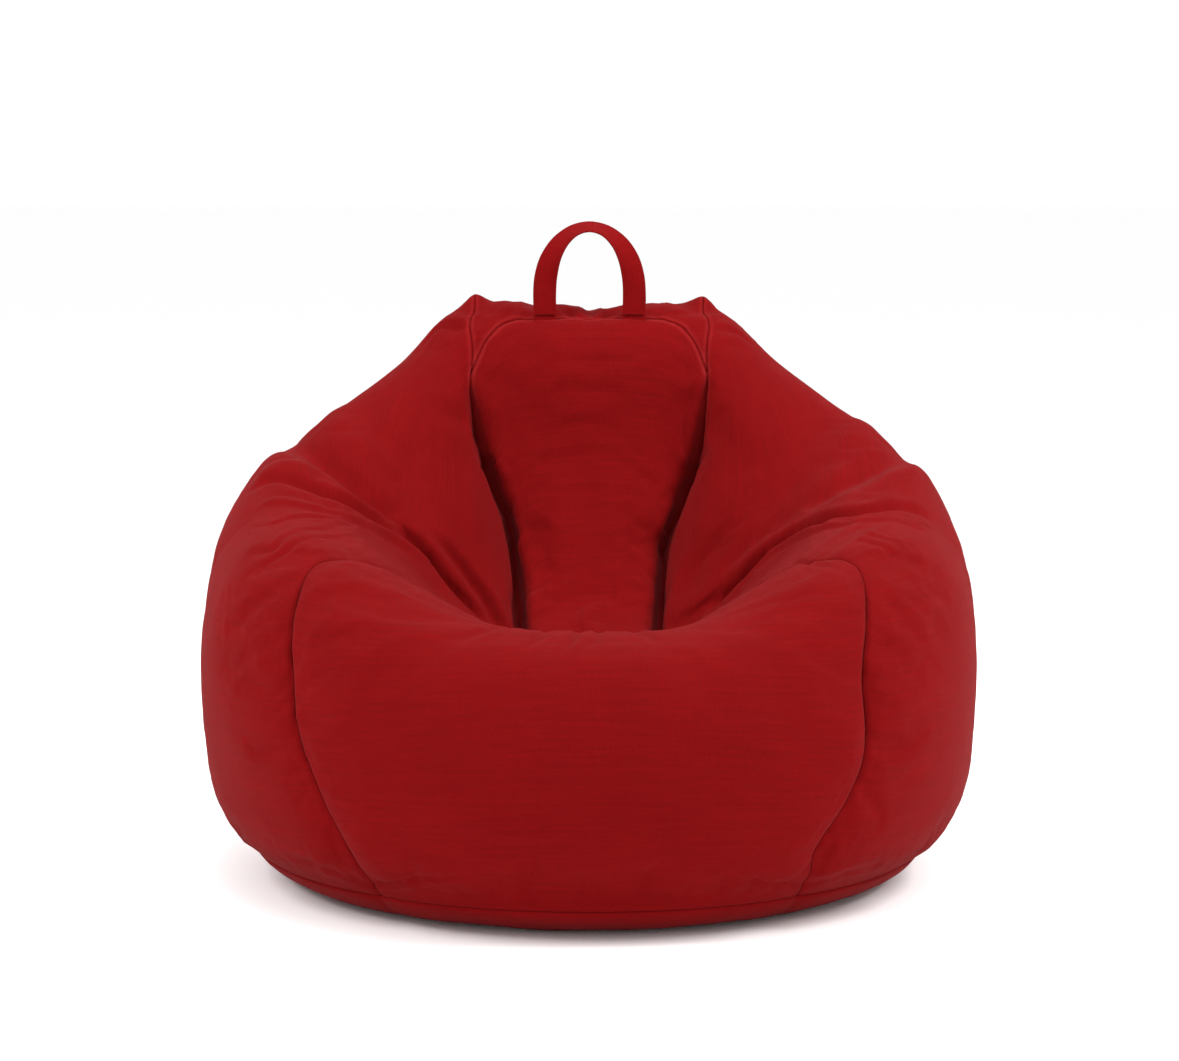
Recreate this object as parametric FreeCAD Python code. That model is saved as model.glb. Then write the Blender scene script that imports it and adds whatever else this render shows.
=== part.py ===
"""Bean bag chair: a sewn fabric cover with a carrying loop and a rear zip, an inner liner with its own zip, and a
bead filling. Millimetres, +Z up. The chair faces -Y, left is -X (as seen from in front), and the origin is on the
floor under the middle of the base.

The bag's outer surface is one smooth skin. A point on it has two coordinates: turn, an angle about a vertical axis
through the middle of the seat (0 at the front, 90 at +X, 180 at the rear), and rise, which runs from 0 at the base
seam, up the outside, over the rim and down to SEAT_ROW on the seat. Every panel is a patch of that skin with its own
thickness, and the liner and the filling are the same skin set further in.
"""

import FreeCAD
import Part

import math
import os

Vec = FreeCAD.Vector
X, Y, Z = Vec(1, 0, 0), Vec(0, 1, 0), Vec(0, 0, 1)
ORIGIN = Vec(0, 0, 0)

# ---- the bag ----
BASE_RADIUS = 370.0  # radius of the base seam
BASE_SEAM_Z = 32.0  # height of the base seam above the floor
BASE_FLAT_RADIUS = 300.0  # the base lies flat on the floor within this
SEAT_Y = -30.0  # the vertical axis that turn is measured about
SEAT_Z = 222.0  # lowest line of the seat, where the front panel meets the backrest panel
SEAT_SEAM_HALF = 66.0  # half the length of that seam
FABRIC = 1.5  # cover fabric
SEAM_GAP = 0.8  # between neighbouring panels
CORNER_DROP = 0.35  # how far the backrest panel's rounded top corners come down, in rise

# Sections of the bag, one for each turn: (distance from the seat axis, height) of rows 1 to 10, from just above the
# base seam, over the rim and down to the seat. Row 0 is the base seam and row 11 the seat seam. On the rear strip
# row 7 is the rear edge of the top and row 8 its front edge.
SEAT_ROW = 11
SECTIONS = {
    0: [(346, 62), (360, 86), (372, 130), (374, 182), (362, 238),
        (334, 284), (286, 303), (226, 297), (162, 268), (96, 234)],
    28: [(364, 62), (377, 86), (388, 130), (388, 184), (374, 243),
         (346, 291), (296, 312), (236, 306), (170, 274), (104, 237)],
    50: [(382, 62), (392, 86), (402, 131), (408, 190), (398, 261),
         (372, 319), (322, 350), (258, 347), (184, 302), (116, 248)],
    70: [(392, 62), (402, 86), (414, 133), (419, 196), (414, 275),
         (390, 341), (342, 381), (274, 378), (196, 326), (126, 257)],
    90: [(395, 62), (404, 86), (416, 136), (423, 199), (419, 285),
         (400, 355), (352, 399), (280, 394), (204, 337), (134, 262)],
    105: [(397, 62), (407, 86), (422, 138), (431, 203), (430, 298),
          (416, 383), (377, 428), (303, 419), (216, 350), (142, 267)],
    120: [(396, 63), (408, 87), (427, 139), (440, 210), (442, 314),
          (427, 410), (389, 456), (320, 444), (230, 370), (150, 275)],
    143: [(393.5, 68), (408, 90), (432, 142), (450, 222), (450, 341),
          (424, 461), (372, 537), (316, 523), (236, 414), (156, 293)],
    157: [(397.5, 68), (410, 90), (436, 143), (452, 228), (446, 349),
          (412, 487), (372, 604), (322, 587), (258, 422), (170, 294)],
    170: [(399.5, 68), (411, 90), (437, 144), (452, 228), (443, 349),
          (407, 485), (364, 601), (290, 591), (222, 417), (148, 296)],
    180: [(400, 68), (411, 90), (437, 144), (452, 228), (442, 349),
          (406, 485), (362, 599), (286, 590), (216, 416), (146, 296)],
}
STEPS = (2, 1, 2, 2, 3, 5, 4, 3, 7, 6, 4)  # how finely each step from one row to the next is followed

# The seams that run from the base to the seat, as (rise, turn) on the +X side.
COVER_FRONT = [(0, 38.5), (1, 39), (2, 40), (3, 42.5), (4, 45), (5, 46.5), (6, 51.5), (7, 58), (9, 52), (11, 40)]
COVER_REAR = [(0, 140), (2, 146), (6, 157), (7, 158.5), (8, 154),
              (8.5, 152.3), (9, 154.6), (9.5, 156.3), (10, 155), (11, 156)]
LINER_FRONT = [(0, 44), (6, 52), (9, 48), (11, 40)]
LINER_REAR = [(0, 134), (6, 142), (9, 148), (11, 156)]

# ---- liner and filling ----
LINER = 1.0  # liner fabric
LINER_DEPTH = 4.5  # from the outer skin to the liner's outer face
FILL_DEPTH = 7.0  # from the outer skin to the filling
ZIP_RELIEF = 5.0  # how much further in both lie around the base, behind the rear zip
LINER_FLOOR_Z = 8.0  # underside of the liner's base
LINER_FLAT_RADIUS = 292.0
FILL_FLOOR_Z = 14.0  # underside of the filling
FILL_FLAT_RADIUS = 288.0

# ---- zips: 5 mm nylon coil, the rear one curved around the base, the liner's straight across its underside ----
TAPE = 0.8
COIL = 2.4
COIL_WIDE = 2.8
SLOT = 1.2  # between the two coils
CLEAR = 0.4  # between a coil and its tape
REAR_ZIP_Z = 50.0  # middle of the rear zip
REAR_ZIP_HALF_ANGLE = 37.5  # degrees, about the Z axis
REAR_WINDOW_TOP_Z = 66.0
REAR_TAPE_TOP_Z = 65.4
REAR_TAPE_BOTTOM_Z = 33.0
REAR_SLIDER_ANGLE = 35.0  # where the slider rests, closed, on the +X side
LINER_ZIP_HALF = 150.0
LINER_WINDOW_HALF = 16.0
LINER_TAPE_OUT = 15.4
LINER_SLIDER_X = 140.0
SLIDER_LONG = 14.0
SLIDER_WIDE = 10.6
PLATE = 1.4
AXLE_OUT = 4.2  # the pull's axis above the tape's outer face
PULL_LONG = 30.0
PULL_WIDE = 8.0
PULL_THICK = 1.4

# ---- carrying loop ----
STRAP_WIDE = 27.0
STRAP_THICK = 2.4
STRAP_PATH = [(52, 0), (52.5, 20), (51, 42), (45, 64), (33, 85), (17, 98.5)]  # half of its middle line, (x, up)
STRAP_APEX = 103.0
STRAP_TWIST = 64.0  # degrees the webbing turns between its sewn ends and the top of the loop
STRAP_LIFT = 3.6  # of the fold line above the seam
BARTACK = 0.45  # half the thickness of the stitching that holds its ends
BARTACK_CLEAR = 0.8  # between it and the webbing


# ---- the skin ----
def through(xs, ys, x):
    """The smooth curve through the points (xs[i], ys[i]), at x. Each y is a list of numbers."""
    i = 0
    while i < len(xs) - 2 and x >= xs[i + 1]:
        i += 1

    def slope(j):
        lo, hi = max(j - 1, 0), min(j + 1, len(xs) - 1)
        if lo == j or hi == j:
            return [(b - a) / (xs[hi] - xs[lo]) for a, b in zip(ys[lo], ys[hi])]
        before, after = xs[j] - xs[lo], xs[hi] - xs[j]
        return [((m - a) / before * after + (b - m) / after * before) / (before + after)
                for a, m, b in zip(ys[lo], ys[j], ys[hi])]

    h = xs[i + 1] - xs[i]
    t = (x - xs[i]) / h
    a, b, c, d = 2 * t**3 - 3 * t**2 + 1, (t**3 - 2 * t**2 + t) * h, 3 * t**2 - 2 * t**3, (t**3 - t**2) * h
    return [a * p + b * u + c * q + d * v for p, u, q, v in zip(ys[i], slope(i), ys[i + 1], slope(i + 1))]


def flat(section):
    return [number for point in section for number in point]


# The sections continue past the middle of the front and of the rear, mirrored, so the skin is smooth there.
STATIONS = sorted([(t, flat(s)) for t, s in SECTIONS.items()]
                  + [(-t, flat(SECTIONS[t])) for t in (28, 50)]
                  + [(360 - t, flat(SECTIONS[t])) for t in (157, 170)])
STATION_TURNS = [t for t, numbers in STATIONS]
STATION_ROWS = [numbers for t, numbers in STATIONS]


def seam(points, rise):
    """Turn of a seam at a rise."""
    return through([r for r, t in points], [[t] for r, t in points], rise)[0]


def skin_rows(turn):
    """The points of rows 0 to SEAT_ROW at a turn."""
    turn = (turn + 180.0) % 360.0 - 180.0
    size = abs(turn)
    out = Vec(math.sin(math.radians(turn)), -math.cos(math.radians(turn)), 0)
    b = SEAT_Y * out.y
    to_seam = -b + math.sqrt(b * b - SEAT_Y**2 + BASE_RADIUS**2)
    numbers = through(STATION_TURNS, STATION_ROWS, size)
    heights = [BASE_SEAM_Z] + numbers[1::2]
    points = [Vec(0, SEAT_Y, z) + out * r for r, z in zip([to_seam] + numbers[0::2], heights)]
    front, rear = COVER_FRONT[-1][1], COVER_REAR[-1][1]
    along = 1.0
    if size < front:
        along = math.sin(math.pi / 2 * size / front)
    elif size > rear:
        along = math.sin(math.pi / 2 * (180 - size) / (180 - rear))
    points.append(Vec(math.copysign(SEAT_SEAM_HALF * along, turn), SEAT_Y, SEAT_Z))
    return points


def skin(turn, rise):
    points = skin_rows(turn)
    at = [0.0]
    for p, q in zip(points, points[1:]):
        at.append(at[-1] + (q - p).Length)
    i = min(int(rise), SEAT_ROW - 1)
    x = at[i] + (rise - i) * (at[i + 1] - at[i])
    return Vec(*through(at, [list(p) for p in points], x))


def below(turn, rise, depth):
    """The point a depth under the skin. The way in is level at the base seam and straight down at the seat seam."""
    across = skin(turn + 0.4, rise) - skin(turn - 0.4, rise)
    along = skin(turn, min(rise + 0.02, SEAT_ROW)) - skin(turn, max(rise - 0.02, 0))
    inward = along.cross(across).normalize()
    near_base, near_seat = max(0.0, 1.0 - rise), max(0.0, 2 * (rise - SEAT_ROW) + 1)
    sideways = Vec(-math.sin(math.radians(turn)), math.cos(math.radians(turn)), 0)
    inward = inward * (1 - near_base - near_seat) + sideways * near_base - Z * near_seat
    return skin(turn, rise) + inward.normalize() * depth


def relieved(depth, rise):
    """A liner or filling depth, with the extra around the base."""
    t = min(max((2.6 - rise) / 1.4, 0.0), 1.0)
    return depth + ZIP_RELIEF * t * t * (3 - 2 * t)


# ---- surfaces through grids of points ----
def basis(knots, degree, count, u):
    """Values of the B-spline basis functions at u."""
    if u >= knots[-1]:
        return [0.0] * (count - 1) + [1.0]
    values = [1.0 if lo <= u < hi else 0.0 for lo, hi in zip(knots, knots[1:])]
    for p in range(1, degree + 1):
        for i in range(len(knots) - 1 - p):
            lo, hi = knots[i + p] - knots[i], knots[i + p + 1] - knots[i + 1]
            value = (u - knots[i]) / lo * values[i] if lo else 0.0
            values[i] = value + ((knots[i + p + 1] - u) / hi * values[i + 1] if hi else 0.0)
    return values[:count]


def inverse(rows):
    size = len(rows)
    m = [list(row) + [1.0 if i == j else 0.0 for j in range(size)] for i, row in enumerate(rows)]
    for i in range(size):
        best = max(range(i, size), key=lambda k: abs(m[k][i]))
        m[i], m[best] = m[best], m[i]
        scale = m[i][i]
        m[i] = [value / scale for value in m[i]]
        for k in range(size):
            if k != i and m[k][i]:
                factor = m[k][i]
                m[k] = [a - factor * b for a, b in zip(m[k], m[i])]
    return [row[size:] for row in m]


class Spline:
    """One direction of a surface: its degree and knots, and the matrix that turns points into poles."""

    def __init__(self, at):
        self.degree = min(3, len(at) - 1)
        inner = [sum(at[j + 1:j + 1 + self.degree]) / self.degree for j in range(len(at) - self.degree - 1)]
        self.knots = [0.0] + inner + [1.0]
        self.counts = [self.degree + 1] + [1] * len(inner) + [self.degree + 1]
        full = [0.0] * self.degree + self.knots + [1.0] * self.degree
        self.matrix = inverse([basis(full, self.degree, len(at), u) for u in at])

    def poles(self, points):
        return [sum((p * w for p, w in zip(points, row) if w), Vec()) for row in self.matrix]


def spaced(lines):
    """A Spline for a bundle of lines, spaced by their average steps."""
    steps = [sum((line[i + 1] - line[i]).Length for line in lines) for i in range(len(lines[0]) - 1)]
    at = [0.0]
    for step in steps:
        at.append(at[-1] + step / sum(steps))
    at[-1] = 1.0
    return Spline(at)


def turned(grid):
    return [list(line) for line in zip(*grid)]


def net(grid, u, v):
    """Poles of the surface through a grid of points."""
    return turned([u.poles(line) for line in turned([v.poles(line) for line in grid])])


def face(poles, u, v):
    surface = Part.BSplineSurface()
    surface.buildFromPolesMultsKnots(poles, u.counts, v.counts, u.knots, v.knots, False, False, u.degree, v.degree)
    return surface.toShape()


def closed(faces):
    """The solid that a set of faces encloses."""
    shell = Part.makeShell(faces)
    shell.sewShape(0.01)
    solid = Part.makeSolid(shell)
    if solid.Volume < 0:
        solid.reverse()
    return solid


def between(outer, inner):
    """The sheet between two grids of points."""
    u, v, straight = spaced(turned(outer)), spaced(outer), Spline([0.0, 1.0])
    top, bottom = net(outer, u, v), net(inner, u, v)
    faces = [face(top, u, v), face(bottom, u, v)]
    for a, b in ((top[0], bottom[0]), (top[-1], bottom[-1])):
        faces.append(face([a, b], straight, v))
    for k in (0, -1):
        faces.append(face([[a[k], b[k]] for a, b in zip(top, bottom)], u, straight))
    return closed(faces)


# ---- panels ----
def rises(start, end):
    """Rises from start to end at the fineness of STEPS."""
    values = [row + k / STEPS[row] for row in range(SEAT_ROW) for k in range(STEPS[row])] + [SEAT_ROW]
    step = 0.25
    return [start] + [v for v in values if start + step / 2 < v < end - step / 4] + [end]


def edged(grid):
    """The grid with its outermost points moved in by half a seam gap."""
    for rows in (grid, turned(grid)):
        for edge, inside in ((rows[0], rows[1]), (rows[-1], rows[-2])):
            for p, q in zip(edge, inside):
                shift = (q - p).normalize() * (SEAM_GAP / 2)
                p.x, p.y, p.z = p + shift
    return grid


def panel(left, right, low, high, columns, depths, rows=None):
    """A panel between two seams. low and high give its lower and upper edge, as a rise, at each place across."""
    sides = []
    for depth in depths:
        grid = []
        for j in range(columns):
            s = j / (columns - 1)
            start, end = low(2 * s - 1), high(2 * s - 1)
            line = rises(start, end) if rows is None else [start + (end - start) * i / rows for i in range(rows + 1)]
            grid.append([below(left(r) + (right(r) - left(r)) * s, r, depth(r)) for r in line])
        sides.append(edged(grid))
    return between(*sides)


def level(rise):
    return lambda s: rise


def backrest_top(s):
    """Rise of the backrest panel's upper edge: flat, with rounded corners."""
    return 8.0 + CORNER_DROP * abs(s)**5


def around(seam_a, seam_b):
    """The two seams as turns, for panels on the +X side, the -X side and across the front or the rear."""
    return lambda r: seam(seam_a, r), lambda r: seam(seam_b, r)


def bag_panels(front, rear, depths, prefix, side_name):
    """The front and side panels, shared by the cover and the liner."""
    tip = SEAT_ROW - 0.05
    f, k = around(front, rear)
    return {
        prefix + "front_panel": panel(lambda r: -f(r), f, level(0), level(SEAT_ROW), 27, depths),
        prefix + "right_" + side_name: panel(f, k, level(0), level(tip), 29, depths),
        prefix + "left_" + side_name: panel(lambda r: -k(r), lambda r: -f(r), level(0), level(tip), 29, depths),
    }


def cover_panels():
    depths = (lambda r: 0.0, lambda r: FABRIC)
    parts = bag_panels(COVER_FRONT, COVER_REAR, depths, "", "side_panel")
    f, k = around(COVER_FRONT, COVER_REAR)
    left, right = k, lambda r: 360 - k(r)
    rear = panel(left, right, level(0), level(7), 25, depths)
    parts["rear_panel"] = rear.cut(ring(BASE_RADIUS - 12, BASE_RADIUS + 12, BASE_SEAM_Z - 2, REAR_WINDOW_TOP_Z,
                                        REAR_ZIP_HALF_ANGLE + 0.5))
    parts["top_panel"] = panel(left, right, level(7), backrest_top, 17, depths, 6)
    parts["backrest_panel"] = panel(left, right, backrest_top, level(SEAT_ROW), 17, depths, 18)
    return parts


def liner_panels():
    depths = (lambda r: relieved(LINER_DEPTH, r), lambda r: relieved(LINER_DEPTH + LINER, r))
    parts = bag_panels(LINER_FRONT, LINER_REAR, depths, "liner_", "panel")
    f, k = around(LINER_FRONT, LINER_REAR)
    parts["liner_back_panel"] = panel(k, lambda r: 360 - k(r), level(0), level(SEAT_ROW), 25, depths)
    return parts


def dish(flat_radius, floor_z, rim_radius, rim_z, thickness):
    """A base panel: a disc that is flat inside flat_radius and curves up to its rim."""
    wide, high = rim_radius - flat_radius, rim_z - floor_z
    bend = (wide * wide + high * high) / (2 * high)
    centre = Vec(flat_radius, 0, floor_z + bend)
    sweep = math.asin(wide / bend)

    def arc(radius):
        points = [centre + Vec(math.sin(sweep * k), 0, -math.cos(sweep * k)) * radius for k in (0, 0.5, 1)]
        return points, Part.Arc(*points).toShape()

    outer, outer_arc = arc(bend)
    inner, inner_arc = arc(bend - thickness)
    middle, middle_top = Vec(0, 0, floor_z), Vec(0, 0, floor_z + thickness)
    lines = [Part.makeLine(middle, outer[0]), outer_arc, Part.makeLine(outer[2], inner[2]), inner_arc,
             Part.makeLine(inner[0], middle_top), Part.makeLine(middle_top, middle)]
    return Part.Face(Part.Wire(Part.__sortEdges__(lines))).revolve(ORIGIN, Z, 360)


def bead_fill():
    """The filling, as two halves of one closed surface between a flat floor and a small flat at the seat seam."""
    turns = [180.0 * j / 52 for j in range(53)]
    line = rises(0, SEAT_ROW - 0.12)
    grid = []
    for turn in turns:
        column = [below(turn, r, relieved(FILL_DEPTH, r)) for r in line]
        column[-1].z = SEAT_Z - FILL_DEPTH
        foot = Vec(column[0].x, column[0].y, 0)
        reach = foot.Length
        lower = [foot * (FILL_FLAT_RADIUS / reach) + Z * FILL_FLOOR_Z,
                 foot * ((FILL_FLAT_RADIUS + 0.55 * (reach - FILL_FLAT_RADIUS)) / reach) + Z * (FILL_FLOOR_Z + 4)]
        grid.append(lower + column)
    for column in (grid[0], grid[-1]):
        for p in column:
            p.x = 0.0
    u, v = spaced(turned(grid)), spaced(grid)
    poles = net(grid, u, v)
    mirrored = [[Vec(-p.x, p.y, p.z) for p in row] for row in poles]
    halves = [face(poles, u, v), face(mirrored, u, v)]
    caps = []
    for k in (0, -1):
        edges = []
        for side in (poles, mirrored):
            curve = Part.BSplineCurve()
            curve.buildFromPolesMultsKnots([row[k] for row in side], u.counts, u.knots, False, u.degree)
            edges.append(curve.toShape())
        caps.append(Part.Face(Part.Wire(Part.__sortEdges__(edges))))
    return closed(halves + caps)


# ---- zips ----
def ring(r0, r1, z0, z1, half_angle):
    """A bar curved about the Z axis, centred on the rear."""
    profile = Part.makePolygon([Vec(r0, 0, z0), Vec(r1, 0, z0), Vec(r1, 0, z1), Vec(r0, 0, z1), Vec(r0, 0, z0)])
    bar = Part.Face(profile).revolve(ORIGIN, Z, 2 * half_angle)
    bar.rotate(ORIGIN, Z, 90 - half_angle)
    return bar


def box(x0, x1, y0, y1, z0, z1):
    return Part.makeBox(x1 - x0, y1 - y0, z1 - z0, Vec(x0, y0, z0))


def rounded(shape, radius, direction):
    """The shape with its edges along a direction rounded."""
    edges = [e for e in shape.Edges if len(e.Vertexes) == 2 and
             abs((e.Vertexes[1].Point - e.Vertexes[0].Point).normalize().dot(direction)) > 0.999]
    return shape.makeFillet(radius, edges)


def slider_body():
    """A slider in its own frame: x along the zip, y away from the bag with 0 at the tape's outer face, z across."""
    half, wide = SLIDER_LONG / 2, SLIDER_WIDE / 2
    outer = COIL / 2 - TAPE / 2 + 0.6
    inner = -TAPE - (COIL / 2 - TAPE / 2) - 0.6
    plates = [rounded(box(-half, half, y, y + PLATE, -wide, wide), 3.0, Y) for y in (outer, inner - PLATE)]
    lips = [box(-half + 3.5, half - 3.5, 0.5, outer + 0.2, z, z + 1.1) for z in (-wide, wide - 1.1)]
    lips += [box(-half + 3.5, half - 3.5, inner - 0.2, -TAPE - 0.5, z, z + 1.1) for z in (-wide, wide - 1.1)]
    web = box(-half + 1.5, half - 4, inner - 0.2, outer + 0.2, -SLOT / 4, SLOT / 4)
    return plates[0].multiFuse([plates[1], web] + lips), outer + PLATE


def rear_slider():
    body, top = slider_body()
    arch = box(-4.2, 4.2, top - 0.2, AXLE_OUT + 2.8, -0.9, 0.9).cut(box(-2.9, 2.9, top, AXLE_OUT + 1.5, -1, 1))
    return body.fuse(arch).removeSplitter()


def pull():
    """The slider's pull, in the slider's frame: a tab on a cross bar that passes under the slider's arch."""
    y0 = AXLE_OUT - PULL_THICK / 2
    tab = rounded(box(0, PULL_LONG, y0, y0 + PULL_THICK, -PULL_WIDE / 2, PULL_WIDE / 2), 2.4, Y)
    bar = Part.makeCylinder(PULL_THICK / 2, PULL_WIDE - 4.8, Vec(0, AXLE_OUT, -PULL_WIDE / 2 + 2.4), Z)
    window = rounded(box(PULL_THICK / 2, 7.2, y0 - 1, y0 + 3, -1.7, 1.7), 0.6, Y)
    hole = Part.makeCylinder(1.6, 6, Vec(PULL_LONG - 4.5, y0 - 1, 0), Y)
    return tab.fuse(bar).cut(window).cut(hole).removeSplitter()


def at_rear_zip(shape):
    """From the slider's frame to its place on the rear zip, with x towards the middle of the zip."""
    angle = math.radians(90 - REAR_SLIDER_ANGLE)
    out, along = Vec(math.cos(angle), math.sin(angle), 0), Vec(-math.sin(angle), math.cos(angle), 0)
    place = FreeCAD.Matrix(along.x, out.x, 0, out.x * (BASE_RADIUS - 0.2), along.y, out.y, 0,
                           out.y * (BASE_RADIUS - 0.2), 0, 0, -1, REAR_ZIP_Z, 0, 0, 0, 1)
    return shape.transformed(place, True)


def rear_zip():
    face_r, half = BASE_RADIUS - 0.2, REAR_ZIP_HALF_ANGLE
    coil_r = face_r - TAPE / 2 - COIL / 2
    coil_low, coil_high = SLOT / 2, SLOT / 2 + COIL_WIDE
    parts = {}
    for name, sign, edge in (("upper", 1, REAR_TAPE_TOP_Z), ("lower", -1, REAR_TAPE_BOTTOM_Z)):
        z = sorted((REAR_ZIP_Z + sign * (coil_high + CLEAR), edge))
        parts["zip_tape_" + name] = ring(face_r - TAPE, face_r, z[0], z[1], half)
        z = sorted((REAR_ZIP_Z + sign * coil_low, REAR_ZIP_Z + sign * coil_high))
        coil = ring(coil_r, coil_r + COIL, z[0], z[1], half - 1.0)
        parts["zip_coil_" + name] = coil.makeFillet(0.8, [e for e in coil.Edges if e.Length > 100])
    stop = ring(coil_r - 0.3, coil_r + COIL + 0.3, REAR_ZIP_Z - 3.6, REAR_ZIP_Z + 3.6, 0.3)
    stops = [stop.copy(), stop.copy()]
    for shape, sign in zip(stops, (1, -1)):
        shape.rotate(ORIGIN, Z, sign * (half - 0.5))
    parts["zip_end_stops"] = Part.Compound(stops)
    parts["zip_slider"] = at_rear_zip(rear_slider())
    parts["zip_pull"] = at_rear_zip(pull())
    return parts


def liner_zip():
    half, z = LINER_ZIP_HALF, LINER_FLOOR_Z
    coil_z = z + TAPE / 2 - COIL / 2
    parts = {}
    for name, sign in (("front", -1), ("rear", 1)):
        y = sorted((sign * (SLOT / 2 + COIL_WIDE + CLEAR), sign * LINER_TAPE_OUT))
        parts["liner_zip_tape_" + name] = box(-half, half, y[0], y[1], z, z + TAPE)
        y = sorted((sign * SLOT / 2, sign * (SLOT / 2 + COIL_WIDE)))
        parts["liner_zip_coil_" + name] = rounded(box(3 - half, half - 3, y[0], y[1], coil_z, coil_z + COIL), 0.8, X)
    stops = [box(x, x + 2, -3.6, 3.6, coil_z - 0.3, coil_z + COIL + 0.3) for x in (0.6 - half, half - 2.6)]
    parts["liner_zip_end_stops"] = Part.Compound(stops)
    slider = slider_body()[0].removeSplitter()
    slider.rotate(ORIGIN, X, -90)
    slider.translate(Vec(LINER_SLIDER_X, 0, z))
    parts["liner_zip_slider"] = slider
    return parts


# ---- carrying loop ----
def fold_line():
    """A point on the line the loop folds about: just above the seam between the backrest and top panels."""
    at = skin(170, 8)
    return Vec(0, at.y, at.z + STRAP_LIFT)


def strap():
    """Flat webbing along the loop. It faces forward at its sewn ends and turns to lie nearly flat at the top."""
    path = [(-x, up) for x, up in STRAP_PATH] + [(0, STRAP_APEX)] + [(x, up) for x, up in reversed(STRAP_PATH)]
    at = [0.0]
    for (x0, z0), (x1, z1) in zip(path, path[1:]):
        at.append(at[-1] + math.hypot(x1 - x0, z1 - z0))
    base = fold_line()
    outer, inner = [], []
    count = 44
    for k in range(count + 1):
        s = k / count
        x, z = through(at, [list(p) for p in path], s * at[-1])
        x0, z0 = through(at, [list(p) for p in path], max(s - 0.005, 0) * at[-1])
        x1, z1 = through(at, [list(p) for p in path], min(s + 0.005, 1) * at[-1])
        ahead = Vec(x1 - x0, 0, z1 - z0).normalize()
        t = min(max((min(s, 1 - s) - 0.06) / 0.44, 0.0), 1.0)
        twist = math.radians(STRAP_TWIST) * t * t * (3 - 2 * t)
        wide = ahead.cross(Y) * -math.cos(twist) + Y * math.sin(twist)
        thick = ahead.cross(wide)
        middle = base + Vec(x, 0, z)
        for grid, side in ((outer, 0.5), (inner, -0.5)):
            grid.append([middle + thick * (STRAP_THICK * side) + wide * (STRAP_WIDE * w) for w in (-0.5, 0.5)])
    return between(outer, inner)


def bartacks():
    """The dense bars of stitching that hold the webbing's two ends in the seam."""
    at = fold_line()
    length = STRAP_WIDE - 3
    x = STRAP_PATH[0][0]
    low = at - Z * (STRAP_THICK / 2 + BARTACK + BARTACK_CLEAR)
    return Part.Compound([Part.makeCylinder(BARTACK, length, low + X * (side * x - length / 2), X) for side in (-1, 1)])


def main():
    parts = cover_panels()
    parts["base_panel"] = dish(BASE_FLAT_RADIUS, 0.0, BASE_RADIUS, BASE_SEAM_Z - 2 * SEAM_GAP, FABRIC)
    parts.update(liner_panels())
    window = box(-LINER_ZIP_HALF - 0.6, LINER_ZIP_HALF + 0.6, -LINER_WINDOW_HALF, LINER_WINDOW_HALF, 0, 20)
    parts["liner_base_panel"] = dish(LINER_FLAT_RADIUS, LINER_FLOOR_Z, BASE_RADIUS - LINER_DEPTH - ZIP_RELIEF,
                                     BASE_SEAM_Z - SEAM_GAP, LINER).cut(window)
    parts["bead_fill"] = bead_fill()
    parts.update(rear_zip())
    parts.update(liner_zip())
    parts["handle_strap"] = strap()
    parts["handle_bartacks"] = bartacks()
    os.makedirs("parts", exist_ok=True)
    for name, shape in parts.items():
        shape.exportStep(f"parts/{name}.step")


main()
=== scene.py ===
"""Bean bag chair: the visual model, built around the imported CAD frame. Metres, +Z up; the chair faces -Y."""

import math

import bpy
import numpy as np
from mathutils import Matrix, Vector
from mathutils.bvhtree import BVHTree


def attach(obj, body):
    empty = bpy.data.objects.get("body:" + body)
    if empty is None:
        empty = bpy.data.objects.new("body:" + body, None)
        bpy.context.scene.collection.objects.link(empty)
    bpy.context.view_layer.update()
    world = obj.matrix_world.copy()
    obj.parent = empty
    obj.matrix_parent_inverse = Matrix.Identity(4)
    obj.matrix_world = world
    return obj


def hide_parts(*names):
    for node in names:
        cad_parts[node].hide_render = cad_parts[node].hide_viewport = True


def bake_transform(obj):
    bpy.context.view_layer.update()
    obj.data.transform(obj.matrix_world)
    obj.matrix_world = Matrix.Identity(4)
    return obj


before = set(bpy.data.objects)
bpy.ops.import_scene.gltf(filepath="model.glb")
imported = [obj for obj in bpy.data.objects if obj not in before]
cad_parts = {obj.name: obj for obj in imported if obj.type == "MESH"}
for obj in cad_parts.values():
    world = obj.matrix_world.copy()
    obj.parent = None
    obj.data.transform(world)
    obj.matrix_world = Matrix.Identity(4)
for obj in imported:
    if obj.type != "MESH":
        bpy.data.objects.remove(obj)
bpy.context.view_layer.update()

MM = 0.001

# ------------ the bag's skin, in millimetres, as in the CAD
BASE_RADIUS = 370.0
BASE_SEAM_Z = 32.0
BASE_FLAT_RADIUS = 300.0
SEAT_Y = -30.0
SEAT_Z = 222.0
SEAT_SEAM_HALF = 66.0
SEAT_ROW = 11
CORNER_DROP = 0.35
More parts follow.
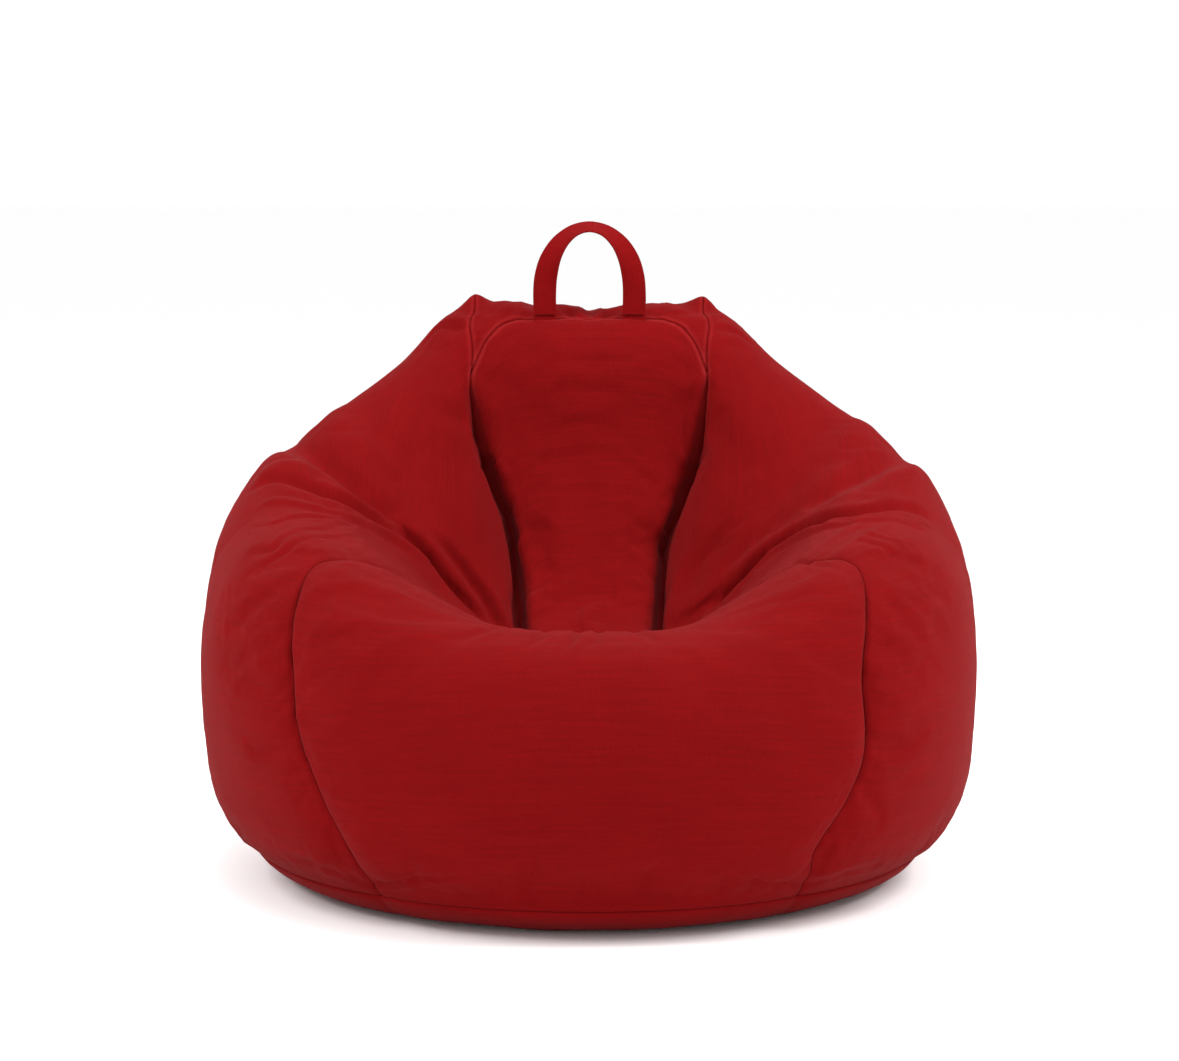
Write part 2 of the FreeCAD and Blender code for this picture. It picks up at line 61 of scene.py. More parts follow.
# The skin at each turn from the front, in degrees: distance outward and height of its ten rows above the base
# seam. A rise counts these rows, from 0 at the base seam to 11 at the seat seam.
SECTIONS = {
    0: (346, 62, 360, 86, 372, 130, 374, 182, 362, 238, 334, 284, 286, 303, 226, 297, 162, 268, 96, 234),
    28: (364, 62, 377, 86, 388, 130, 388, 184, 374, 243, 346, 291, 296, 312, 236, 306, 170, 274, 104, 237),
    50: (382, 62, 392, 86, 402, 131, 408, 190, 398, 261, 372, 319, 322, 350, 258, 347, 184, 302, 116, 248),
    70: (392, 62, 402, 86, 414, 133, 419, 196, 414, 275, 390, 341, 342, 381, 274, 378, 196, 326, 126, 257),
    90: (395, 62, 404, 86, 416, 136, 423, 199, 419, 285, 400, 355, 352, 399, 280, 394, 204, 337, 134, 262),
    105: (397, 62, 407, 86, 422, 138, 431, 203, 430, 298, 416, 383, 377, 428, 303, 419, 216, 350, 142, 267),
    120: (396, 63, 408, 87, 427, 139, 440, 210, 442, 314, 427, 410, 389, 456, 320, 444, 230, 370, 150, 275),
    143: (393.5, 68, 408, 90, 432, 142, 450, 222, 450, 341, 424, 461, 372, 537, 316, 523, 236, 414, 156, 293),
    157: (397.5, 68, 410, 90, 436, 143, 452, 228, 446, 349, 412, 487, 372, 604, 322, 587, 258, 422, 170, 294),
    170: (399.5, 68, 411, 90, 437, 144, 452, 228, 443, 349, 407, 485, 364, 601, 290, 591, 222, 417, 148, 296),
    180: (400, 68, 411, 90, 437, 144, 452, 228, 442, 349, 406, 485, 362, 599, 286, 590, 216, 416, 146, 296),
}
# Each seam that runs up the bag, as (rise, turn).
COVER_FRONT = [(0, 38.5), (1, 39), (2, 40), (3, 42.5), (4, 45), (5, 46.5), (6, 51.5), (7, 58), (9, 52), (11, 40)]
COVER_REAR = [(0, 140), (2, 146), (6, 157), (7, 158.5), (8, 154), (8.5, 152.3), (9, 154.6), (9.5, 156.3), (10, 155),
              (11, 156)]
LINER_FRONT = [(0, 44), (6, 52), (9, 48), (11, 40)]
LINER_REAR = [(0, 134), (6, 142), (9, 148), (11, 156)]


def slopes(rate, step):
    """Slope at each row, from the rates of change and the steps on both sides of it."""
    inside = (rate[:-1] * step[1:] + rate[1:] * step[:-1]) / (step[1:] + step[:-1])
    return np.concatenate([rate[:1], inside, rate[-1:]])


def cubic(t, h, a, b, slope_a, slope_b):
    """The place at t, from 0 to 1, on a cubic from a to b over a step of h."""
    return ((2 * t**3 - 3 * t**2 + 1) * a + (t**3 - 2 * t**2 + t) * h * slope_a
            + (3 * t**2 - 2 * t**3) * b + (t**3 - t**2) * h * slope_b)


def through(xs, ys, x):
    """The smooth curve through the rows ys at xs, at every x."""
    xs, ys = np.asarray(xs, float), np.asarray(ys, float)
    step = np.diff(xs)[:, None]
    slope = slopes(np.diff(ys, axis=0) / step, step)
    i = np.clip(np.searchsorted(xs, x, side="right") - 1, 0, len(xs) - 2)
    h = step[i]
    t = (x - xs[i])[:, None] / h
    return cubic(t, h, ys[i], ys[i + 1], slope[i], slope[i + 1])


def distances(line):
    """Distance along a line of points to each of them."""
    return np.concatenate([[0], np.cumsum(np.linalg.norm(np.diff(line, axis=0), axis=1))])


# the two sides are alike, so the first and last sections are repeated past the front and the rear
STATIONS = sorted([*SECTIONS.items(), *((-t, SECTIONS[t]) for t in (28, 50)),
                   *((360 - t, SECTIONS[t]) for t in (157, 170))])
STATION_TURNS = np.array([t for t, s in STATIONS], float)
STATION_ROWS = np.array([s for t, s in STATIONS], float)


def seam_turn(points, rise):
    return through([r for r, t in points], [[t] for r, t in points], np.asarray(rise, float).ravel())[:, 0]


def skin(turn, rise):
    """Points of the skin at arrays of turn and rise."""
    shape = np.shape(turn)
    turn = (np.ravel(turn) + 180.0) % 360.0 - 180.0
    rise = np.clip(np.ravel(rise), 0, SEAT_ROW)
    size = np.abs(turn)
    out = np.stack([np.sin(np.radians(turn)), -np.cos(np.radians(turn)), np.zeros_like(turn)], -1)
    b = SEAT_Y * out[:, 1]
    to_seam = -b + np.sqrt(b * b - SEAT_Y**2 + BASE_RADIUS**2)
    numbers = through(STATION_TURNS, STATION_ROWS, size)
    reach = np.hstack([to_seam[:, None], numbers[:, 0::2]])
    rows = out[:, None, :] * reach[:, :, None] + np.array([0, SEAT_Y, 0])
    rows[:, :, 2] = np.hstack([np.full((len(turn), 1), BASE_SEAM_Z), numbers[:, 1::2]])
    front, rear = COVER_FRONT[-1][1], COVER_REAR[-1][1]
    along = np.where(size < front, np.sin(np.pi / 2 * size / front),
                     np.where(size > rear, np.sin(np.pi / 2 * (180 - size) / (180 - rear)), 1.0))
    last = np.stack([np.copysign(SEAT_SEAM_HALF * along, turn), np.full_like(turn, SEAT_Y),
                     np.full_like(turn, SEAT_Z)], -1)
    rows = np.concatenate([rows, last[:, None, :]], 1)
    step = np.linalg.norm(np.diff(rows, axis=1), axis=2)[:, :, None]
    rate = np.diff(rows, axis=1) / step
    slope = slopes(rate.swapaxes(0, 1), step.swapaxes(0, 1)).swapaxes(0, 1)
    i = np.minimum(rise.astype(int), SEAT_ROW - 1)
    n = np.arange(len(turn))
    h, t = step[n, i], (rise - i)[:, None]
    return cubic(t, h, rows[n, i], rows[n, i + 1], slope[n, i], slope[n, i + 1]).reshape(*shape, 3)


def unit(v):
    return v / np.maximum(np.linalg.norm(v, axis=-1, keepdims=True), 1e-9)


def sideways(turn, rise, step=0.4):
    return skin(turn + step, rise) - skin(turn - step, rise)


def outward(turn, rise, step=0.02):
    """Outward direction of the skin, level at the base seam and straight up at the seat seam."""
    n = unit(np.cross(sideways(turn, rise), skin(turn, rise + step) - skin(turn, rise - step)))
    base, seat = np.clip(1 - rise, 0, 1)[..., None], np.clip(2 * (rise - SEAT_ROW) + 1, 0, 1)[..., None]
    level = np.stack([np.sin(np.radians(turn)), -np.cos(np.radians(turn)), np.zeros_like(turn)], -1)
    return unit(n * (1 - base - seat) + level * base + np.array([0, 0, 1.0]) * seat)


# ------------ noise, lines and folds
CELLS = 32
LATTICE = np.random.default_rng(7).uniform(-1, 1, (CELLS, CELLS, CELLS))
CHUNK = 20000  # the most points that are measured at once


def noise(p, size, seed=0):
    """Smooth noise from -1 to 1, with features about `size` across."""
    q = p / size + seed * np.array([7.31, 3.77, 5.19])
    base = np.floor(q).astype(int)
    f = q - base
    f = f * f * f * (f * (f * 6 - 15) + 10)
    total = 0.0
    for corner in np.ndindex(2, 2, 2):
        weight = np.prod(np.where(np.array(corner) == 1, f, 1 - f), axis=-1)
        i, j, k = ((base[..., axis] + corner[axis]) % CELLS for axis in range(3))
        total = total + weight * LATTICE[i, j, k]
    return total


def nearest(points, line):
    """Distance from each point to a polyline, and how far along it that is, in millimetres."""
    flat = points.reshape(-1, 3)
    a, ab = line[:-1], np.diff(line, axis=0)
    length = np.linalg.norm(ab, axis=1)
    start = np.concatenate([[0], np.cumsum(length)[:-1]])
    best, along = np.empty(len(flat)), np.empty(len(flat))
    for k in range(0, len(flat), CHUNK):
        p = flat[k:k + CHUNK]
        ahead = p @ ab.T - (a * ab).sum(1)
        t = np.clip(ahead / length**2, 0, 1)
        d = (p * p).sum(1)[:, None] - 2 * p @ a.T + (a * a).sum(1) - 2 * t * ahead + (t * length)**2
        i = d.argmin(1)
        rows = np.arange(len(p))
        best[k:k + CHUNK] = np.sqrt(np.maximum(d[rows, i], 0))
        along[k:k + CHUNK] = start[i] + t[rows, i] * length[i]
    return best.reshape(points.shape[:-1]), along.reshape(points.shape[:-1])


def fade(x):
    x = np.clip(x, 0, 1)
    return x * x * (3 - 2 * x)


def bell(x, width):
    """1 at x = 0, dying away within a width or two."""
    return np.exp(-(x / width)**2)


def skin_line(places, count=24):
    """A smooth line on the skin through (turn, rise) places."""
    turn, rise = through(range(len(places)), places, np.linspace(0, len(places) - 1, count)).T
    return skin(turn, rise)


def front_turn(rise, side):
    """Turn of a front seam. The one at -X stands a little further out, and the one at +X a little further in."""
    rise = np.asarray(rise, float)
    turn = seam_turn(COVER_FRONT, rise) - side * 1.8 * bell(rise - 5.8, 1.5)
    if side < 0:
        return turn + 2.5 * bell(rise - 4.9, 1.1)
    return turn - 3.0 * bell(rise - 2.0, 1.3)


def rear_turn(rise):
    """Turn of a rear seam, which runs up beside the rear panel, the top panel and the backrest panel."""
    return seam_turn(COVER_REAR, rise)


def backrest_top(s):
    """Rise of the backrest panel's upper edge, from s = -1 at one side to 1 at the other."""
    return 8.0 + CORNER_DROP * np.abs(s)**5


RIDGE_RISE = 7.0  # the seam at the rear edge of the top
R = np.linspace(0, SEAT_ROW, 130)
FRONT_SEAMS = [skin(side * front_turn(R, side), R) for side in (-1, 1)]
REAR_SEAMS = [skin(side * rear_turn(R), R) for side in (-1, 1)]
RIDGE = np.linspace(COVER_REAR[3][1], 360 - COVER_REAR[3][1], 60)
RIDGE_SEAM = skin(RIDGE, np.full_like(RIDGE, RIDGE_RISE))
S = np.linspace(-1, 1, 90)
TOP_SEAM = skin(180 + S * (180 - rear_turn(backrest_top(S))), backrest_top(S))
ROUND = np.linspace(0, 360, 200)
BASE_SEAM = skin(ROUND, np.zeros_like(ROUND))
SEAT_SEAM = np.array([[x, SEAT_Y, SEAT_Z] for x in np.linspace(-SEAT_SEAM_HALF, SEAT_SEAM_HALF, 20)])

# Folds in the cloth: half width, depth (below 0 in a raised fold), then the turn and rise of each place along it.
FOLDS = [
    # the arm at -X: its crest, the valley behind it, and the curved wrinkles over it
    (7, -4.5, -92, 6.8, -92, 7.3, -90, 7.7, -90, 8.05, -93, 8.35, -99, 8.65, -106, 8.95, -113, 9.35),
    (10, 12, -100, 6.7, -101, 7.3, -99, 7.75, -99, 8.1, -102, 8.45, -108, 8.8, -114, 9.15, -119, 9.5),
    (4.5, 3, -86, 6.6, -81, 7, -82.5, 7.35, -84, 7.7, -86, 8.1, -93, 8.5),
    (4.5, 3.2, -74, 6.4, -69, 6.7, -71, 7.1, -74.5, 7.5, -78, 7.9, -88, 8.35),
    (4, 2.8, -68, 6.2, -66, 6.6, -66.5, 7.05, -69, 7.5, -73, 8.1, -80, 8.4),
    (9, 8, -110, 8.7, -113, 8.9, -117, 9.2, -118, 9.5, -118.5, 9.7, -121, 9.95, -125, 10.3),
    (7, 6.5, -123, 9.2, -126, 9.44, -128.5, 9.7, -130.5, 9.95, -131, 10.25, -133, 10.6),
    (19, 15.5, -124, 6.8, -118, 7.2, -114, 7.7, -112, 8.1, -112, 8.5, -117, 8.9),
    (20, -6, -131, 6.9, -126, 7.5, -123, 8.1, -124, 8.6),
    (14, -4.5, -103, 6.9, -106, 7.4, -105, 7.9),
    # the arm at +X
    (7, -4.5, 83, 6.7, 82, 7.2, 80, 7.55, 80, 7.9, 84, 8.3, 92, 8.6, 100, 8.95, 104, 9.3),
    (10, 12.5, 91, 6.6, 90, 7.2, 88, 7.6, 88, 8, 93, 8.4, 100, 8.75, 107, 9.1, 112, 9.5, 118, 9.9),
    (3.5, 3, 87, 6.5, 84, 6.8, 82.5, 7.2, 82, 7.5),
    (4.5, -2.2, 72, 7.6, 70, 7.4, 69, 7.1, 69, 6.7),
    (4.5, 2.4, 66, 7.5, 65, 7.2, 64, 6.7),
    (4.5, 2.6, 60, 8.3, 57.5, 8, 54, 7.5, 52, 7),
    (19, 14, 119, 6.8, 112, 7.2, 107, 7.8, 105, 8.2, 107, 8.6),
    (20, -5, 127, 6.9, 121, 7.6, 118, 8.2),
    # wings and top
    (5, 3.5, -147, 7.1, -150, 7.2, -152, 7.67, -154, 8),
    (5, 2.5, 147, 7.3, 150, 7.5, 153, 7.9),
    (14, 3, -140, 8.4, -146, 8.55, -151, 8.7),
    (16, 3, 136, 8.9, 143, 8.7, 150, 8.6),
    (4.5, 3, 171, 7.5, 176, 7.9, 180, 8),
    (4.5, 3, 189, 7.5, 184, 7.9, 180, 8),
    (6, 1.6, 180, 7.95, 180, 7.5, 181, 7),
    # the lip
    (5, 4.5, -12, 6.4, -10, 6.9, -10.5, 7.5, -10, 8.1),
    (5, 5, -5, 6.3, -3.5, 6.9, -3, 7.5, -2, 8.1),
    (4.5, 4, 0, 6.5, 1.5, 7, 2, 7.5, 3, 8.1),
    (6, 4, 13, 6.5, 12, 7, 11, 7.5, 10, 8.1),
    (6, 3.6, -24, 6.4, -21, 7, -20, 7.6, -19, 8.1),
    # around the base
    (3.2, 3.4, -42, 0.3, -36.5, 0.5, -30, 0.95, -23, 1.3, -19, 1.45),
    (7, 3, -39, 0.4, -46, 0.9, -54, 1.2),
    (3.4, 2.6, 41, 0.35, 36, 0.5, 29, 0.9, 23, 1.2),
    (7, 3, 38, 0.4, 44, 0.8, 52, 0.9),
    (9, 2.5, -90, 0.2, -87, 0.9, -88, 1.6),
    (12, -4, 70, 0.2, 78, 0.5, 86, 0.3),
    (8, 3, 95, 0.2, 97, 0.8, 101, 1.5),
    (7, 2, -12, 0.1, -10, 0.6, -4, 1.1),
    (9, 2.5, 118, 0.2, 117, 1, 113, 1.8),
    (9, 2.5, -121, 0.2, -119, 1, -122, 2),
    # the back
    (14, 4, 150, 2.6, 156, 2.3, 165, 2.2, 174, 2.4),
    (13, 3.5, 206, 3.2, 199, 2.9, 190, 2.9),
    (9, 3.5, 160, 6.6, 166, 6.2, 172, 5.5),
    (9, 3.5, 200, 6.6, 195, 6.1, 190, 5.3),
    (13, 3.5, 148, 3.4, 140, 3.2, 132, 3.4),
    (13, 3.5, -146, 3.8, -137, 3.4, -128, 3.4),
]
# Each seam: its line, how far it pulls the cloth in and over what distance, how much it puckers, how much painted
# shade darkens its groove and how much painted highlight lightens the edge beside it, and its number.
FRONT, REAR = (0, 1), (2, 3)
SEAMS = [(line, 4.5, 20.0, 1.0, 0.6, 0.0, k) for k, line in enumerate(FRONT_SEAMS)]
SEAMS += [(line, 3.0, 24.0, 0.55, 0.25, 0.3, k + 2) for k, line in enumerate(REAR_SEAMS)]
SEAMS += [(RIDGE_SEAM, 1.0, 14.0, 0.3, 0.15, 0.1, 4), (TOP_SEAM, 1.6, 12.0, 0.4, 0.1, 0.45, 5),
          (BASE_SEAM, 0.6, 12.0, 0.15, 0.15, 0.0, 6)]
GROOVE = 2.8  # depth of the line of stitching itself
PUCKER = 2.4  # height of the puckers beside it
SEAT_PULL = 7.0  # how far the seat seam pulls the cloth in
SWELLS = ((2.4, 150.0, 1), (1.2, 70.0, 2))  # the cloth's broad unevenness: height, size and seed
CORNER_LIFT = 6.0  # the two top corners stand up in points
TOP_DIP = 4.0  # the top edge dips between the two ends of the loop
CREASE = 25.0  # depth of the crease down each side of the backrest panel
INNER = 1.0  # how far in from the cover's outer face the inner surface is taken
NOTCH = 0.8825  # half the width of the zip's notch in the lower edge of the rear panel, as a share of the panel
NOTCH_TOP = 0.944  # rise of the notch's upper edge
NOTCH_ROWS = 1.3  # the rise above which the rear panel's rows are the same beside the notch and above it
REAR_HALF = 180 - COVER_REAR[0][1]  # half the width of the rear panel at the base, in degrees
SETTLED = SETTLED_TREE = None  # the settled cloth, once it is simulated


def folds(points):
    total = np.zeros(points.shape[:-1])
    flat, lift = points.reshape(-1, 3), total.reshape(-1)
    for width, depth, *places in FOLDS:
        line = skin_line(np.reshape(places, (-1, 2)))
        middle = (line.max(0) + line.min(0)) / 2
        reach = np.linalg.norm(line - middle, axis=1).max() + 3.5 * width
        close = np.flatnonzero(((flat - middle)**2).sum(1) < reach**2)
        if len(close) == 0:
            continue
        d, s = nearest(flat[close], line)
        ends = np.sin(np.pi * np.clip(s / distances(line)[-1], 0, 1))**0.6  # a fold dies away at both ends
        x = d / width
        lift[close] -= depth * ends * (1 - 0.6 * x * x) * np.exp(-0.5 * x * x)
    return total


def zip_calm(turn, rise):
    """0 at the rear zip, where the cloth lies against the zip's tapes, and 1 away from it."""
    size = np.abs(turn % 360 - 180)
    return 1 - (1 - fade((size - 36.5) / 6)) * (1 - fade((rise - 1.1) / 0.9))


def seam_noise(along, across, number, size, lane):
    """Noise beside a seam, with each seam in a lane of its own."""
    return noise(np.stack([along, across, np.full_like(along, lane * number)], -1), size, number)


def surface(turn, rise, panel, inner=False):
    """The cloth at (turn, rise): the skin with its seams, creases and folds, the outward direction there, and the
    painted shade (above 0) and painted highlight (below 0) that the seams put on it. The inner surface has no stitching
    or puckers."""
    p, n = skin(turn, rise), outward(turn, rise)
    lift, shift, puckers, mark = (np.zeros(np.shape(turn)) for _ in range(4))
    corner = sum(np.exp(-((p - tip)**2).sum(-1) / 16.0**2) for tip in (RIDGE_SEAM[0], RIDGE_SEAM[-1]))
    for line, pull, width, share, shade, rim, number in SEAMS:
        d, s = nearest(p, line)
        if number in FRONT:
            # the front seams show least near the floor and where they turn over the arms
            held = (0.4 + 0.6 * fade((rise - 2.5) / 2.5)) * (1 - 0.75 * fade((rise - 6.0) / 0.8))
            share, shade = share * held, shade * held
        lift -= pull * (1 - corner) * np.exp(-d / width)
        if not inner:
            lift -= GROOVE * share * (1 - corner) * bell(d, 3.0)
            dash = seam_noise(s, 0 * s, number, 11.0, 53.0)
            # the mark paints shade into the seam's groove and a highlight on the edge beside it
            mark += shade * (0.55 + 0.45 * dash) * bell(d, 1.5) - rim * bell(d - 3.0, 1.7)
            ripple = seam_noise(s, d * 0.2, number, 8.5, 37.0)
            strength = 0.45 + 0.55 * seam_noise(s, 0 * s, number, 90.0, 91.0)
            puckers += PUCKER * share * strength * ripple * np.exp(-d / 12.0) * fade(d / 3.0)
        if number in REAR:
            # beside the backrest panel the cloth dives in behind the panel's edge, which stands proud
            reach = fade((rise - 8.2) / 0.8) * fade((11.05 - rise) / 0.5)
            if inner:
                lift -= reach * (CREASE + 2) * np.exp(-(d / 34.0)**1.4)
            elif panel == "backrest_panel":
                lift += reach * (5.0 * bell(d, 40.0) - (CREASE + 5) * bell(d, 5.0))
                shift += reach * 6.0 * bell(d - 6.5, 4.0) * (1 if number == REAR[0] else -1)
            else:
                lift -= reach * CREASE * (0.45 * np.exp(-d / 30.0) + 0.55 * bell(d, 13.0))
    lift -= SEAT_PULL * np.exp(-nearest(p, SEAT_SEAM)[0] / 22.0)
    lift += puckers
    away = fade(rise / 0.8)
    lift += away * sum(height * noise(p, size, seed) for height, size, seed in SWELLS)
    if not inner:
        lift += away * 0.3 * noise(p * np.array([1, 1, 1.6]), 26.0, 3)
    lift += folds(p)
    calm = zip_calm(turn, rise)
    lift *= calm
    points = p + n * (lift - INNER * inner)[..., None] + unit(sideways(turn, rise)) * shift[..., None]
    if SETTLED_TREE:
        moved = wrinkle_at(points)
        along_n = (moved * n).sum(-1, keepdims=True)
        moved += n * (np.maximum(along_n, -SIM_INWARD) - along_n)
        points += moved * (calm * away * (1 - corner))[..., None]
    points[..., 2] += CORNER_LIFT * corner
    middle = RIDGE_SEAM[len(RIDGE_SEAM) // 2]
    points[..., 2] -= TOP_DIP * np.exp(-((p[..., 0] / 34.0)**2 + ((p[..., 1:] - middle[1:])**2).sum(-1) / 45.0**2))
    return points, n, mark


# ------------ meshes
SET_IN = 0.35  # how far each edge of a panel is set in from its seam
COVER_TURNED, LINER_TURNED = (4.0, 8.0), (2.0,)  # how deep the seam allowances turn in
NOTCH_STEP = 0.003  # half the gap between the two columns at each side of the notch
FLOOR_Z = 0.9  # the base's outer face above the floor


def mesh_object(name, points, faces, cloth=None, smooth=True):
    """A mesh from points in millimetres. The cloth attribute is the place on the cut piece and the seams' painted shade
    and highlight.
    """
    mesh = bpy.data.meshes.new(name)
    faces = faces.tolist() if isinstance(faces, np.ndarray) else faces
    mesh.from_pydata((np.asarray(points, float).reshape(-1, 3) * MM).tolist(), [], faces)
    if cloth is not None:
        attribute = mesh.attributes.new("cloth", "FLOAT_VECTOR", "POINT")
        attribute.data.foreach_set("vector", (np.asarray(cloth).reshape(-1, 3) * MM).astype(np.float32).ravel())
    mesh.validate()
    if smooth:
        mesh.shade_smooth()
    obj = bpy.data.objects.new(name, mesh)
    bpy.context.collection.objects.link(obj)
    return obj


def grid_faces(rows, columns, wrap=False):
    """Faces of a grid of points; wrap joins the last column to the first."""
    i, j = np.meshgrid(np.arange(rows - 1), np.arange(columns if wrap else columns - 1), indexing="ij")
    k = (j + 1) % columns
    return np.stack([i * columns + j, i * columns + k, (i + 1) * columns + k, (i + 1) * columns + j], -1).reshape(-1, 4)


def read(items, key, width, kind=float):
    values = np.empty(len(items) * width, kind)
    items.foreach_get(key, values)
    return values.reshape(-1, width)


def closed_faces(rows, columns):
    """Faces of a closed form from rings of points, with a flat face at both ends."""
    first = list(range(columns))
    return grid_faces(rows, columns, wrap=True).tolist() + [first[::-1], [(rows - 1) * columns + j for j in first]]


def fan(start, columns, tip):
    return [[start + j, start + (j + 1) % columns, tip] for j in range(columns)]


def apply_modifiers(obj):
    bpy.context.view_layer.update()
    evaluated = obj.evaluated_get(bpy.context.evaluated_depsgraph_get())
    mesh = bpy.data.meshes.new_from_object(evaluated)
    old = obj.data
    obj.modifiers.clear()
    obj.data = mesh
    bpy.data.meshes.remove(old)
    mesh.name = obj.name


def thicken(obj, thickness):
    modifier = obj.modifiers.new("thickness", "SOLIDIFY")
    modifier.thickness = thickness * MM
    modifier.offset = -1
    apply_modifiers(obj)


def spread(length, fine=1.7, coarse=5.0, reach=16.0):
    """Places from 0 to 1 along a length, closer together near both ends."""
    places = [0.0]
    while places[-1] < length / 2:
        places.append(places[-1] + fine + (coarse - fine) * float(fade(places[-1] / reach)))
    half = np.array(places) * (length / 2 / places[-1])
    return np.concatenate([half, length - half[-2::-1]]) / length


def lengths_between(points, axis):
    step = np.linalg.norm(np.diff(points, axis=axis), axis=2)
    pad = np.zeros_like(np.take(points[..., 0], [0], axis))
    return np.concatenate([pad, np.cumsum(step, axis=axis)], axis)


def beside_notch(s, rise):
    """Where a column of the rear panel stands: the notch's sides go straight up beside the zip and ease back above."""
    half = 180 - rear_turn(rise.ravel()).reshape(rise.shape)
    side = NOTCH + NOTCH * (REAR_HALF / half - 1) * (1 - fade((rise - 1) / 2))
    size = np.abs(s)
    outer = side + (size - NOTCH) / (1 - NOTCH) * (1 - side)
    return np.sign(s) * np.where(size < NOTCH, size / NOTCH * side, outer)


def panel_mesh(name, left, right, low, high, depth=None, thickness=1.2, edge=1.7, coarse=5.0, splits=()):
    """A sewn panel between two seams, given as turns at a rise, and two edges, given as rises at each place across."""
    probe = np.linspace(0, 1, 200)
    middle = low(0.0) + (high(0.0) - low(0.0)) * probe
    centre = (left(middle) + right(middle)) / 2
    line = skin(centre, middle)
    run = distances(line)
    widths = np.linalg.norm(skin(left(middle), middle) - skin(centre, middle), axis=1)
    t = np.interp(spread(run[-1], edge, coarse), run / run[-1], probe)
    s = np.sort(np.concatenate([2 * spread(2.1 * widths.max(), edge, coarse) - 1, splits]))
    tt, ss = np.meshgrid(t, s, indexing="ij")
    rise = low(ss) + (high(ss) - low(ss)) * tt
    if len(splits):
        # the rows that run into the notch's sides crowd together just above it
        plain = high(ss) * tt
        rise = np.where(plain < NOTCH_ROWS, low(ss) + (1 - low(ss) / NOTCH_ROWS) * plain, plain)
    a, b = left(rise.ravel()).reshape(rise.shape), right(rise.ravel()).reshape(rise.shape)
    turn = (a + b) / 2 + (b - a) / 2 * (beside_notch(ss, rise) if len(splits) else ss)
    inner = depth is not None
    points, n, mark = surface(turn, rise, name, inner)
    if inner:
        points = points - n * (depth(rise) - INNER)[..., None]
    u, v = lengths_between(points, 1), lengths_between(points, 0)
    if len(splits):
        # the rows step up at the notch, so the places on the cut piece are measured without them
        u = np.radians(turn) * np.hypot(points[..., 0], points[..., 1] - SEAT_Y)
        v = v - v[-1:]
    # the third part carries the seams' painted shade and painted highlight
    cloth = np.stack([u - u[:, [u.shape[1] // 2]], v, mark / MM], -1)
    # the seam allowances: each edge is set in a little and turned inward
    for rows in (points, points.swapaxes(0, 1)):
        for k, inside in ((0, 2), (-1, -3)):
            rows[k] += unit(rows[inside] - rows[k]) * SET_IN
    turned = np.array(LINER_TURNED if inner else COVER_TURNED)
    extra = len(turned)
    rows = np.concatenate([np.zeros(extra, int), np.arange(len(t)), np.full(extra, len(t) - 1)])
    columns = np.concatenate([np.zeros(extra, int), np.arange(len(s)), np.full(extra, len(s) - 1)])
    down = [np.concatenate([turned[::-1], np.zeros(count), turned]) for count in (len(t), len(s))]
    drop = np.maximum(down[0][:, None], down[1][None, :])
    points = points[np.ix_(rows, columns)] - n[np.ix_(rows, columns)] * drop[..., None]
    obj = mesh_object(name + "_cloth", points, grid_faces(*points.shape[:2]), cloth[np.ix_(rows, columns)])
    thicken(obj, thickness)
    return obj


def base_mesh(name, thickness=1.2):
    """The round base, flat on the floor, curving up to its seam."""
    turns = np.linspace(0, 360, 420, endpoint=False)
    rim, n = surface(turns, np.zeros_like(turns), "base_panel")[:2]
    rim = rim - n * 0.3
    share = np.concatenate([np.linspace(0.02, 0.76, 50), np.linspace(0.77, 0.99, 36), [0.995, 1.0, 0.992, 0.98]])
    flat = BASE_FLAT_RADIUS / BASE_RADIUS
    lift = np.clip((share - flat) / (1 - flat), 0, 1)
    steep = 0.93  # how near to upright the base curves at its rim
    z = (FLOOR_Z + (rim[:, 2][None, :] - 1.3) * (1 - np.sqrt(1 - (steep * lift[:, None])**2))
         / (1 - math.sqrt(1 - steep**2)))
    # the last two rows are the seam allowance, turned up inside
    z[-2] += 3.0
    z[-1] += 5.0
    points = np.stack([rim[None, :, 0] * share[:, None], rim[None, :, 1] * share[:, None], z], -1)
    cloth = points * np.array([1, 1, 0])
    wave = noise(cloth, 60.0, 9) * 1.6 + noise(cloth, 22.0, 8) * 0.5
    points[..., 2] += np.maximum(wave, -0.2) * fade((lift[:, None] - 0.02) / 0.3) * fade((1 - share[:, None]) / 0.05)
    count, columns = points.shape[:2]
    points = np.vstack([points.reshape(-1, 3), [[0, 0, FLOOR_Z]]])
    cloth = np.vstack([cloth.reshape(-1, 3), [[0, 0, 0]]])
    faces = grid_faces(count, columns, wrap=True)[:, ::-1].tolist() + fan(0, columns, count * columns)
    obj = mesh_object(name + "_cloth", points, faces, cloth)
    thicken(obj, thickness)
    return obj


# ------------ the cover, settled as cloth
SIM_VOXEL = 8.5
SIM_FRAMES = 24
SIM_SHARE = 0.6  # how much of the movement is kept
SIM_INWARD = 3.0  # the furthest a point may move in towards the liner
SIM_REACH = 10.0  # the furthest a point may move at all, before that share
SIM_CLOTH = {"quality": 5, "mass": 0.25, "tension_stiffness": 18, "compression_stiffness": 18, "shear_stiffness": 6,
             "bending_stiffness": 0.15, "use_pressure": True, "uniform_pressure_force": 5.0,
             "vertex_group_mass": "held", "vertex_group_shrink": "tight", "shrink_min": -0.03, "shrink_max": 0.10}
BAG_TOP = 10.9  # the rise where a whole bag closes over the seat


